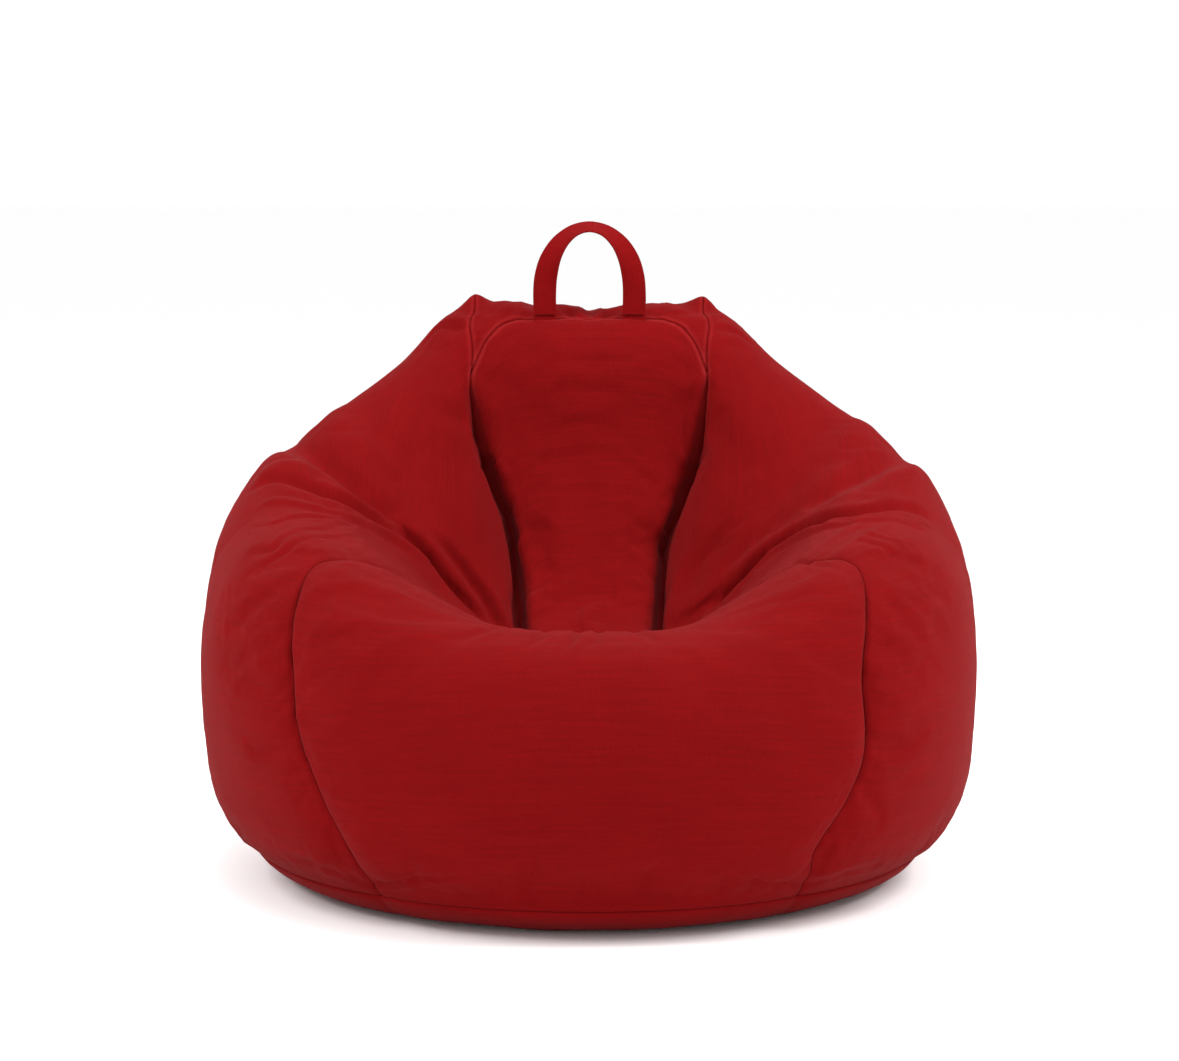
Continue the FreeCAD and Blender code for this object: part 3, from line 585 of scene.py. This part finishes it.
def bag_solid(name, depth, columns, count, foot):
    """A closed form of the whole bag, up to a crown over the seat. Its foot is rings given as (radius, height)."""
    turn, rise = np.meshgrid(np.linspace(0, 360, columns, endpoint=False), np.linspace(0, BAG_TOP, count))
    points, n = surface(turn, rise, name, inner=True)[:2]
    points = points - n * (depth(rise) - INNER)[..., None]
    out = unit(points[0] * np.array([1, 1, 0]))
    rows = np.concatenate([[out * radius + np.array([0, 0, z]) for radius, z in foot], points])
    crown = len(rows) * columns
    faces = grid_faces(len(rows), columns, wrap=True).tolist() + fan(crown - columns, columns, crown)
    faces.append(list(range(columns))[::-1])
    return mesh_object(name, np.vstack([rows.reshape(-1, 3), points[-1].mean(0)]), faces)


def settle():
    """Cloth simulation of the cover: the filling presses it out while its seams, cut short, gather it into wrinkles.
    Returns the mesh it started from and how far each point moved, without the general swelling."""
    bag = bag_solid("bag", lambda rise: 0 * rise, 300, 170,
                    ((2, 0), (100, 0), (200, 0), (292, 0.5), (335, 8), (356, 20)))
    remesh = bag.modifiers.new("remesh", "REMESH")
    remesh.mode = "VOXEL"
    remesh.voxel_size = SIM_VOXEL * MM
    apply_modifiers(bag)
    count = len(bag.data.vertices)
    start = read(bag.data.vertices, "co", 3) / MM
    tight = np.zeros(count)
    for line in FRONT_SEAMS + REAR_SEAMS + [RIDGE_SEAM, TOP_SEAM, BASE_SEAM]:
        tight = np.maximum(tight, bell(nearest(start, line)[0], 9.0))
    held = np.where(start[:, 2] < 12.0, 1.0, 0.0)
    for name, weights in (("tight", tight), ("held", held)):
        group = bag.vertex_groups.new(name=name)
        for weight in np.unique(np.round(weights, 1)):
            group.add(np.flatnonzero(np.round(weights, 1) == weight).tolist(), float(weight), "REPLACE")
    cloth = bag.modifiers.new("cloth", "CLOTH")
    for key, value in SIM_CLOTH.items():
        setattr(cloth.settings, key, value)
    cloth.settings.effector_weights.gravity = 0.0
    cloth.collision_settings.use_self_collision = False
    cloth.point_cache.frame_start, cloth.point_cache.frame_end = 1, SIM_FRAMES
    for frame_number in range(1, SIM_FRAMES + 1):
        bpy.context.scene.frame_set(frame_number)
    mesh = bag.evaluated_get(bpy.context.evaluated_depsgraph_get()).to_mesh()
    moved = read(mesh.vertices, "co", 3) / MM - start
    one, two = read(bag.data.edges, "vertices", 2, int).T
    degree = np.bincount(one, minlength=count) + np.bincount(two, minlength=count)
    swelling = moved
    for _ in range(30):
        swelling = np.stack([(np.bincount(one, swelling[two, k], count) + np.bincount(two, swelling[one, k], count))
                             / degree for k in range(3)], -1)
    moved = moved - swelling
    size = np.linalg.norm(moved, axis=1, keepdims=True)
    moved *= SIM_SHARE * np.minimum(1, SIM_REACH / np.maximum(size, 1e-6)) * (1 - held[:, None])
    bag.data.calc_loop_triangles()
    triangles = read(bag.data.loop_triangles, "vertices", 3, int)
    bpy.context.scene.frame_set(1)
    bpy.data.objects.remove(bag)
    return start, triangles, moved


def wrinkle_at(points):
    """How far the settled cloth has moved at each point."""
    flat = points.reshape(-1, 3)
    hit = np.array([SETTLED_TREE.find_nearest(p)[2] for p in (flat * MM).tolist()])
    corners = SETTLED[1][hit]
    a, b, c = (SETTLED[0][corners[:, k]] for k in range(3))
    n = np.cross(b - a, c - a)
    area = np.maximum((n * n).sum(1), 1e-9)
    wa, wb = (np.clip((np.cross(side, flat - end) * n).sum(1) / area, 0, 1) for side, end in ((c - b, b), (a - c, c)))
    weights = np.stack([wa, wb, np.clip(1 - wa - wb, 0, 1)], -1)
    weights /= weights.sum(1, keepdims=True)
    return (SETTLED[2][corners] * weights[..., None]).sum(1).reshape(points.shape)


# ------------ materials
# noise scales of the weft, the warp and the faint streaks, per metre across and along the cut piece
WEFT, WARP, STREAK = (22.0, 780.0, 0.0), (820.0, 26.0, 0.0), (9.0, 240.0, 0.0)


class Nodes:
    """A short way to build a node material."""

    def __init__(self, name):
        self.material = bpy.data.materials.new(name)
        self.material.use_nodes = True
        self.tree = self.material.node_tree
        self.shader = self.tree.nodes["Principled BSDF"]

    def add(self, kind, inputs=(), **settings):
        node = self.tree.nodes.new("ShaderNode" + kind)
        for key, value in settings.items():
            setattr(node, key, value)
        for key, value in dict(inputs).items():
            self.put(node.inputs[key], value)
        return node

    def put(self, socket, value):
        if isinstance(value, bpy.types.NodeSocket):
            self.tree.links.new(value, socket)
        else:
            socket.default_value = value

    def math(self, operation, a, b=0.0, clamp=False):
        return self.add("Math", {0: a, 1: b}, operation=operation, use_clamp=clamp).outputs[0]

    def place(self):
        return self.add("TexCoord").outputs["Object"]

    def scaled(self, vector, scale):
        return self.add("VectorMath", {0: vector, 1: scale}, operation="MULTIPLY").outputs[0]

    def noise(self, vector, scale=1.0, detail=2.0, roughness=0.5):
        inputs = {"Vector": vector, "Scale": scale, "Detail": detail, "Roughness": roughness}
        return self.add("TexNoise", inputs).outputs[0]

    def range(self, value, to_low=0.0, to_high=1.0, low=0.3, high=0.7):
        return self.add("MapRange", enumerate((value, low, high, to_low, to_high))).outputs[0]

    def mix(self, factor, a, b):
        return self.add("Mix", {0: factor, 6: a, 7: b}, data_type="RGBA").outputs[2]

    def bump(self, height, distance, strength, normal=None):
        inputs = {"Height": height, "Distance": distance, "Strength": strength}
        return self.add("Bump", {**inputs, "Normal": normal} if normal else inputs).outputs[0]

    def set(self, **values):
        for key, value in values.items():
            self.put(self.shader.inputs[key.replace("_", " ").title().replace("Ior", "IOR")], value)


def linear(*rgb):
    """Linear colour from 0 to 255 sRGB."""
    shares = [c / 255 for c in rgb]
    return tuple(c / 12.92 if c <= 0.04045 else ((c + 0.055) / 1.055)**2.4 for c in shares) + (1.0,)


def toned(colour, factor, more=0.0):
    return tuple(min(1.0, c * factor + more) for c in colour[:3]) + (1.0,)


def woven(name, colour, pitch=0.9, slub=0.5, sheen=0.06, sheen_tint=(1, 0.36, 0.38, 1), flat=False):
    """Plain-woven cloth with uneven threads. The cloth attribute holds the place on the cut piece, in metres, and the
    painted shade and painted highlight that the seams put on it. A flat level piece goes by its own coordinates
    instead."""
    m = Nodes(name)
    cloth = m.place() if flat else m.add("Attribute", attribute_name="cloth").outputs["Vector"]
    parts = m.add("SeparateXYZ", {0: cloth}).outputs
    across, along = (m.math("SINE", m.math("MULTIPLY", parts[k], math.pi / (pitch * MM))) for k in (0, 1))
    weave = m.math("MULTIPLY", across, along)
    weft, warp = (m.noise(m.scaled(cloth, scale)) for scale in (WEFT, WARP))
    streak = m.noise(m.scaled(cloth, STREAK), detail=3.0)
    patch = m.noise(cloth, 14.0, 3.0, 0.6)
    thread = m.math("ADD", m.math("MULTIPLY", weft, 0.6), m.math("MULTIPLY", warp, 0.4))
    dark, light = toned(colour, 1 - 0.42 * slub), toned(colour, 1 + 0.42 * slub)
    tone = m.math("ADD", m.math("MULTIPLY", m.range(thread), 0.5),
                  m.math("ADD", m.math("MULTIPLY", m.range(streak), 0.3), m.math("MULTIPLY", m.range(patch), 0.2)))
    # painted shade for the seams' grooves, and a painted highlight for the edges beside them
    seam, painted_highlight = toned(colour, 0.3), toned(colour, 1.7, 0.012)
    colour_out = m.mix(m.math("MULTIPLY", parts[2], 1.0, clamp=True), m.mix(tone, dark, light), seam)
    colour_out = m.mix(m.math("MULTIPLY", parts[2], -1.0, clamp=True), colour_out, painted_highlight)
    m.set(base_color=colour_out, roughness=m.range(thread, 0.88 - 0.06, 0.88 + 0.06),
          sheen_weight=sheen, sheen_roughness=0.35, sheen_tint=sheen_tint, specular_ior_level=0.04)
    coarse = m.bump(m.math("ADD", thread, m.math("MULTIPLY", streak, 0.5)), 0.0006, 0.55)
    m.set(normal=m.bump(weave, 0.00022, 0.6, coarse))
    return m.material


def dress(obj, material):
    """Give a piece of the cover its material and slot."""
    obj.data.materials.append(material)
    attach(obj, "cover")
    return obj


def pad(obj, node):
    """Hide the CAD node that a stuffed piece stands for."""
    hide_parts(node)


SETTLED = settle()
SETTLED_TREE = BVHTree.FromPolygons((SETTLED[0] * MM).tolist(), SETTLED[1].tolist())

cover_cloth = woven("cover_cloth", linear(110, 7, 9))
TIP = SEAT_ROW - 0.012  # the side panels end just short of the seat seam, where they come to a point


def level(rise):
    return lambda s: rise + 0 * np.asarray(s, float)


def notched(s):
    """The rear panel's lower edge, with the zip's notch."""
    return np.where(np.abs(s) < NOTCH, NOTCH_TOP, 0.0)


REAR_EDGES = (rear_turn, lambda r: 360 - rear_turn(r))
PANELS = {
    "front_panel": (lambda r: -front_turn(r, -1), lambda r: front_turn(r, 1), level(0.0), level(SEAT_ROW)),
    "right_side_panel": (lambda r: front_turn(r, 1), rear_turn, level(0.0), level(TIP)),
    "left_side_panel": (lambda r: -rear_turn(r), lambda r: -front_turn(r, -1), level(0.0), level(TIP)),
    "rear_panel": (*REAR_EDGES, notched, level(RIDGE_RISE)),
    "top_panel": (*REAR_EDGES, level(RIDGE_RISE), backrest_top),
    "backrest_panel": (*REAR_EDGES, backrest_top, level(SEAT_ROW)),
}
NOTCH_SIDES = [side + step for side in (-NOTCH, NOTCH) for step in (-NOTCH_STEP, NOTCH_STEP)]
for name, edges in PANELS.items():
    splits = NOTCH_SIDES if name == "rear_panel" else ()
    pad(dress(panel_mesh(name, *edges, splits=splits), cover_cloth), name)
pad(dress(base_mesh("base_panel"), cover_cloth), "base_panel")

# ------------ liner and filling
CALICO = {"colour": (0.80, 0.77, 0.70, 1.0), "pitch": 0.5, "slub": 0.12, "sheen": 0.1, "sheen_tint": (1, 1, 1, 1)}
calico = woven("liner_calico", **CALICO)


def relieved(depth):
    """A depth under the cover that grows towards the floor, to leave room for the base and the zip."""
    return lambda rise: depth + 5.0 * fade((2.6 - rise) / 1.4)


def liner_front(r):
    return seam_turn(LINER_FRONT, r)


def liner_rear(r):
    return seam_turn(LINER_REAR, r)


LINER_PANELS = {
    "liner_front_panel": (lambda r: -liner_front(r), liner_front, level(0.0), level(SEAT_ROW)),
    "liner_right_panel": (liner_front, liner_rear, level(0.0), level(TIP)),
    "liner_left_panel": (lambda r: -liner_rear(r), lambda r: -liner_front(r), level(0.0), level(TIP)),
    "liner_back_panel": (liner_rear, lambda r: 360 - liner_rear(r), level(0.0), level(SEAT_ROW)),
}
for name, edges in LINER_PANELS.items():
    panel = panel_mesh(name, *edges, depth=relieved(7.5), thickness=0.8, edge=5.0, coarse=7.0)
    pad(dress(panel, calico), name)

# the filling
fill = bag_solid("bead_fill_mass", relieved(10.0), 220, 150,
                 ((2, 14), (100, 14), (200, 14), (270, 14), (288, 14.4), (325, 17.5)))
beads = Nodes("expanded_beads")
bead_cells = beads.add("TexVoronoi", {"Vector": beads.place(), "Scale": 260.0})
bead_tone = beads.range(bead_cells.outputs["Color"], low=0.0, high=1.0)
beads.set(base_color=beads.mix(bead_tone, (0.78, 0.78, 0.76, 1), (0.93, 0.93, 0.92, 1)), roughness=0.62,
          normal=beads.bump(bead_cells.outputs["Distance"], 0.0015, 0.8))
pad(dress(fill, beads.material), "bead_fill")


# ------------ tubes, stitches and zips
def tube(path, radius, sides=6):
    """Points and faces of a round tube along a path, closed at both ends."""
    path = np.asarray(path, float)
    ahead = unit(np.gradient(path, axis=0))
    guide = np.array([0.13, 0.21, 0.97])
    one = unit(np.cross(ahead, guide))
    two = np.cross(ahead, one)
    a = np.linspace(0, 2 * math.pi, sides, endpoint=False)
    rings = path[:, None] + radius * (one[:, None] * np.cos(a)[None, :, None] + two[:, None] * np.sin(a)[None, :, None])
    return rings.reshape(-1, 3), [face[::-1] for face in closed_faces(len(path), sides)]


def joined(name, parts):
    points, faces, start = [], [], 0
    for p, f in parts:
        points.append(p)
        faces += [[start + i for i in face] for face in f]
        start += len(p)
    return mesh_object(name, np.vstack(points), faces)


def stitches(line, out, radius=0.28, long=2.6, gap=0.9, sink=0.12):
    """A row of stitches along a line of points, each one lying on the cloth and dipping into it at both ends."""
    line, out = np.asarray(line, float), np.asarray(out, float)
    at = distances(line)
    parts = []
    for k in range(int(at[-1] / (long + gap))):
        s = k * (long + gap) + np.array([0, 0.2, 0.5, 0.8, 1.0]) * long
        place = np.stack([np.interp(s, at, line[:, i]) for i in range(3)], -1)
        away = np.stack([np.interp(s, at, out[:, i]) for i in range(3)], -1)
        arch = np.array([-0.4, 0.0, 0.1, 0.0, -0.4]) + radius - sink
        parts.append(tube(place + away * arch[:, None], radius, 5))
    return parts


def thread(name, colour):
    """Sewing thread, with its ply."""
    m = Nodes(name)
    ply = m.noise(m.place(), 2600.0)
    m.set(base_color=m.mix(ply, toned(colour, 0.75), colour), roughness=m.range(ply, 0.6, 0.8), sheen_weight=0.05,
          sheen_tint=(1, 0.4, 0.4, 1), specular_ior_level=0.1, normal=m.bump(ply, 0.0002, 0.6))
    return m.material


def nylon(name, colour):
    """The half-gloss filament of a zip's coil."""
    m = Nodes(name)
    tone = m.noise(m.place(), 900.0)
    m.set(base_color=m.mix(tone, toned(colour, 0.8), colour), roughness=m.range(tone, 0.36, 0.5),
          specular_ior_level=0.22, normal=m.bump(tone, 0.0001, 0.3))
    return m.material


def metal(name):
    """Plated metal with fine scratches and smudges."""
    m = Nodes(name)
    scratch = m.noise(m.scaled(m.place(), (300.0, 300.0, 5000.0)), detail=3.0)
    smudge = m.noise(m.place(), 220.0, 3.0)
    m.set(base_color=m.mix(smudge, (0.46, 0.45, 0.43, 1), (0.66, 0.65, 0.62, 1)), metallic=1.0,
          roughness=m.range(scratch, 0.24, 0.42), normal=m.bump(scratch, 0.00004, 0.5))
    return m.material


def keep(node, material, bevel=0.0):
    """A CAD node that stays: a better material, and its sharp edges eased."""
    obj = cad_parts[node]
    obj.data.materials.clear()
    obj.data.materials.append(material)
    if bevel:
        modifier = obj.modifiers.new("edges", "BEVEL")
        modifier.width = bevel * MM
        modifier.segments = 2
        modifier.limit_method = "ANGLE"
        modifier.angle_limit = math.radians(35)


THREAD_RED = thread("red_thread", linear(118, 8, 11))
CREAM = (0.78, 0.76, 0.70, 1.0)
ZIP_RADIUS = 369.4  # middle of the rear zip's tapes
ZIP_Z = 50.0
ZIP_HALF = ZIP_RADIUS * math.radians(37.5)  # half its length
LINER_ZIP_HALF = 150.0
LINER_ZIP_Z = 8.4
TAPE_INNER, TAPE_OUTER = 3.9, 15.3  # a tape's two edges from the middle of its zip
TAPE_LOWEST = 16.8  # the rear zip's lower tape reaches on down to the base seam
COIL_SHORT, LINER_COIL_SHORT = 6.5, 3.5  # how far each coil ends before its tape does


def on_rear(u, across, out):
    """A place on the rear zip: along it, up, and outward."""
    a = np.asarray(u, float) / ZIP_RADIUS
    radius = ZIP_RADIUS + np.asarray(out, float)
    return np.stack([radius * np.sin(a), radius * np.cos(a), ZIP_Z + np.asarray(across, float) + 0 * a], -1)


def on_liner(u, across, out):
    """A place on the liner's zip: along it, towards the rear, and downward."""
    u = np.asarray(u, float)
    return np.stack([u, np.asarray(across, float) + 0 * u, LINER_ZIP_Z - np.asarray(out, float) + 0 * u], -1)


def zip_tape(node, place, half, low, high, material):
    """Half of a zip's tape, with a slight ripple."""
    u = np.linspace(-half, half, int(2 * half / 2.0))
    v = np.linspace(low, high, 12)
    uu, vv = np.meshgrid(u, v, indexing="ij")
    ripple = 0.10 * noise(np.stack([uu, vv, 0 * uu], -1), 16.0, 21)
    points = place(uu, vv, 0.38 + ripple)
    cloth = np.stack([uu, vv, 0 * uu], -1)
    obj = mesh_object(node + "_cloth", points, grid_faces(len(u), len(v)), cloth)
    thicken(obj, 0.75)
    dress(obj, material)
    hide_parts(node)


def zip_coil(node, place, half, sign, material, pitch=1.35):
    """Half of a zip's coil: one filament wound around the tape's edge, with its heads flattened."""
    loops = int(2 * half / pitch)
    t = np.linspace(0, loops, loops * 10 + 1)
    a = 2 * math.pi * t
    u = -half + (t + (0.25 if sign > 0 else -0.25)) * pitch
    across = sign * (1.78 - 1.32 * np.sign(np.cos(a)) * np.abs(np.cos(a))**0.8)
    out = 0.86 * np.sin(a)
    obj = dress(mesh_object(node + "_wound", *tube(place(u, across, out), 0.34)), material)
    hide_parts(node)


rear_tape = woven("zip_tape_cloth", linear(128, 14, 18), pitch=0.4, slub=0.2, sheen=0.1)
rear_nylon = nylon("zip_coil_nylon", linear(112, 6, 9))
liner_tape = woven("liner_tape_cloth", CREAM, pitch=0.4, slub=0.15, sheen=0.05, sheen_tint=(1, 1, 1, 1))
liner_nylon = nylon("liner_coil_nylon", (0.80, 0.80, 0.77, 1))
nickel = metal("nickel")
zip_tape("zip_tape_upper", on_rear, ZIP_HALF, TAPE_INNER, TAPE_OUTER, rear_tape)
zip_tape("zip_tape_lower", on_rear, ZIP_HALF, -TAPE_LOWEST, -TAPE_INNER, rear_tape)
zip_coil("zip_coil_upper", on_rear, ZIP_HALF - COIL_SHORT, 1, rear_nylon)
zip_coil("zip_coil_lower", on_rear, ZIP_HALF - COIL_SHORT, -1, rear_nylon)
zip_tape("liner_zip_tape_front", on_liner, LINER_ZIP_HALF, -TAPE_OUTER, -TAPE_INNER, liner_tape)
zip_tape("liner_zip_tape_rear", on_liner, LINER_ZIP_HALF, TAPE_INNER, TAPE_OUTER, liner_tape)
zip_coil("liner_zip_coil_front", on_liner, LINER_ZIP_HALF - LINER_COIL_SHORT, -1, liner_nylon)
zip_coil("liner_zip_coil_rear", on_liner, LINER_ZIP_HALF - LINER_COIL_SHORT, 1, liner_nylon)
for node in ("zip_end_stops", "zip_slider", "zip_pull", "liner_zip_end_stops", "liner_zip_slider"):
    keep(node, nickel, 0.25)
keep("liner_base_panel", woven("liner_base_calico", **CALICO, flat=True))

# topstitching that holds the upper tape to the rear panel
zip_rows = []
for rise in (1.0, 1.12):
    places = np.linspace(145.5, 214.5, 300)
    zip_rows += stitches(*surface(places, np.full_like(places, rise), "rear_panel")[:2])
dress(joined("zip_topstitching", zip_rows), THREAD_RED)

# ------------ carrying loop
STRAP_WIDE = 27.0
STRAP_THICK = 2.4
STRAP_EDGE = 0.9  # how far the rounding of its edges reaches in
STRAP_SEWN = 3.2  # its two lines of stitching, in from its edges
STRAP_PATH = [(52, 0), (52.5, 20), (51, 42), (45, 64), (33, 83.5), (17, 96)]  # half of it: place across and height
STRAP_APEX = 100.0
STRAP_TWIST = -math.radians(66.0)  # how far it turns about its own line by the top
STRAP_LIFT = 3.6
# where it folds: over its seam, straight behind the middle
FOLD = skin(np.array([170.0]), np.array([8.0]))[0] * np.array([0, 1, 1]) + np.array([0, 0, STRAP_LIFT])
STRAP_ROOT = 11.0  # how far the webbing runs on down into the seam
ROOT_ROWS = 8
LOOP = np.array([(-x, up) for x, up in STRAP_PATH] + [(0, STRAP_APEX)] + STRAP_PATH[::-1], float)
LOOP_AT = distances(LOOP)


def strap_frame(count=190):
    """Middle, sideways and outward directions along the webbing, with its two roots in the seam."""
    s = np.linspace(0, 1, count)
    flat = through(LOOP_AT, LOOP, s * LOOP_AT[-1])
    ahead = unit(np.gradient(np.stack([flat[:, 0], 0 * s, flat[:, 1]], -1), axis=0))
    twist = (STRAP_TWIST * fade((np.minimum(s, 1 - s) - 0.06) / 0.44))[:, None]
    y = np.array([0, 1.0, 0])
    wide = -np.cross(ahead, y) * np.cos(twist) + y * np.sin(twist)
    middle = FOLD + np.stack([flat[:, 0], 0 * s, flat[:, 1]], -1)
    roots = np.linspace(STRAP_ROOT, 1.2, ROOT_ROWS)
    down = np.array([0, 0, -1.0])
    middle = np.vstack([middle[0] + down * roots[:, None], middle, middle[-1] + down * roots[::-1, None]])
    wide, ahead = (np.vstack([np.repeat(rows[:1], ROOT_ROWS, 0), rows, np.repeat(rows[-1:], ROOT_ROWS, 0)])
                   for rows in (wide, ahead))
    return middle, wide, np.cross(ahead, wide)


def strap_mesh():
    """The webbing, with its edges rounded and a shallow line where each row of stitching pulls it in."""
    middle, wide, thick = strap_frame()
    half = STRAP_WIDE / 2
    x = np.linspace(-1, 1, 41) * (half - STRAP_EDGE)
    sewn = 0.28 * bell(np.abs(x) - (half - STRAP_SEWN), 0.8)
    face = STRAP_THICK / 2 - 0.12 - sewn - 0.05 * np.cos(x * 2.1)
    around = np.linspace(-math.pi / 2, math.pi / 2, 7)[1:-1]
    edge_x = half - STRAP_EDGE + STRAP_EDGE * np.cos(around)
    edge_y = (STRAP_THICK / 2 - 0.15) * np.sin(around)
    outline = np.vstack([np.stack([x, -face], -1), np.stack([edge_x, edge_y], -1),
                         np.stack([x[::-1], face], -1), np.stack([-edge_x, edge_y[::-1]], -1)])
    wobble = 0.35 * noise(middle, 30.0, 31) + 0.15 * noise(middle, 9.0, 32)
    width = 1 - 0.012 * noise(middle, 18.0, 33)
    across, up = outline[None, :, :1], outline[None, :, 1:]
    points = (middle[:, None] + wide[:, None] * (across * width[:, None, None])
              + thick[:, None] * (up + wobble[:, None, None] * (1 - (across / half)**2)))
    cloth = np.stack(np.broadcast_arrays(distances(outline)[None, :], distances(middle)[:, None], [[0.0]]), -1)
    return mesh_object("handle_webbing", points, closed_faces(*points.shape[:2]), cloth)


handle = strap_mesh()
handle.data.materials.append(woven("webbing_cloth", linear(116, 8, 10), pitch=0.8, slub=0.35))
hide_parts("handle_strap")
middle, wide, thick = (rows[ROOT_ROWS + 1:-ROOT_ROWS - 1] for rows in strap_frame())
rows = []
for side in (-1, 1):
    for face_side in (-1, 1):
        line = middle + wide * side * (STRAP_WIDE / 2 - STRAP_SEWN) + thick * face_side * (STRAP_THICK / 2 - 0.42)
        rows += stitches(line, thick * face_side, radius=0.24)
handle_thread = joined("handle_stitching", rows)
handle_thread.data.materials.append(THREAD_RED)
for obj in (handle, handle_thread):
    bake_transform(obj)
tacks = []
x = np.linspace(-12, 12, 61)
for side in (-1, 1):
    for y in (-1.75, 1.75):
        up_down = -2.6 + 1.1 * (-1.0)**np.arange(len(x))
        zigzag = np.stack([x + side * STRAP_PATH[0][0], np.full_like(x, y), up_down], -1)
        tacks.append(tube(zigzag + FOLD, 0.3, 5))
bartacks = dress(joined("handle_bartack_thread", tacks), THREAD_RED)
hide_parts("handle_bartacks")

# ------------ camera, light and floor
camera = bpy.data.objects.new("camera", bpy.data.cameras.new("camera"))
bpy.context.collection.objects.link(camera)
DISTANCE, ELEVATION = 3.4, math.radians(7.0)
camera.data.lens = 94.6
camera.data.sensor_width = 36.0
TARGET = Vector((0.0, 0.0, 0.369))
camera.location = TARGET + Vector((0, -math.cos(ELEVATION), math.sin(ELEVATION))) * DISTANCE
camera.rotation_euler = (math.pi / 2 - ELEVATION, 0, 0)
bpy.context.scene.camera = camera

world = bpy.data.worlds.new("studio")
bpy.context.scene.world = world
world.use_nodes = True
for socket, value in zip(world.node_tree.nodes["Background"].inputs, ((1, 1, 1, 1), 1.0)):
    socket.default_value = value


def area_light(name, location, size, power, target=(0, 0, 0.25)):
    light = bpy.data.lights.new(name, "AREA")
    light.shape = "RECTANGLE"
    light.size, light.size_y = size
    light.energy = power
    obj = bpy.data.objects.new(name, light)
    bpy.context.collection.objects.link(obj)
    obj.location = location
    obj.rotation_euler = (Vector(target) - Vector(location)).to_track_quat("-Z", "Y").to_euler()


area_light("overhead", (0.0, -0.3, 2.7), (1.4, 1.4), 17)
area_light("left", (-2.1, -0.7, 2.0), (0.9, 1.2), 48)
area_light("right", (2.1, -0.5, 2.1), (0.9, 1.2), 66)

FAR = 40000
floor = mesh_object("floor", [(-FAR, -FAR, 0), (FAR, -FAR, 0), (FAR, FAR, 0), (-FAR, FAR, 0)], [(0, 1, 2, 3)],
                    smooth=False)
paper = Nodes("paper")
paper.set(base_color=(0.99, 0.99, 0.99, 1), roughness=0.95)
floor.data.materials.append(paper.material)
bpy.context.scene.view_settings.view_transform = "Standard"
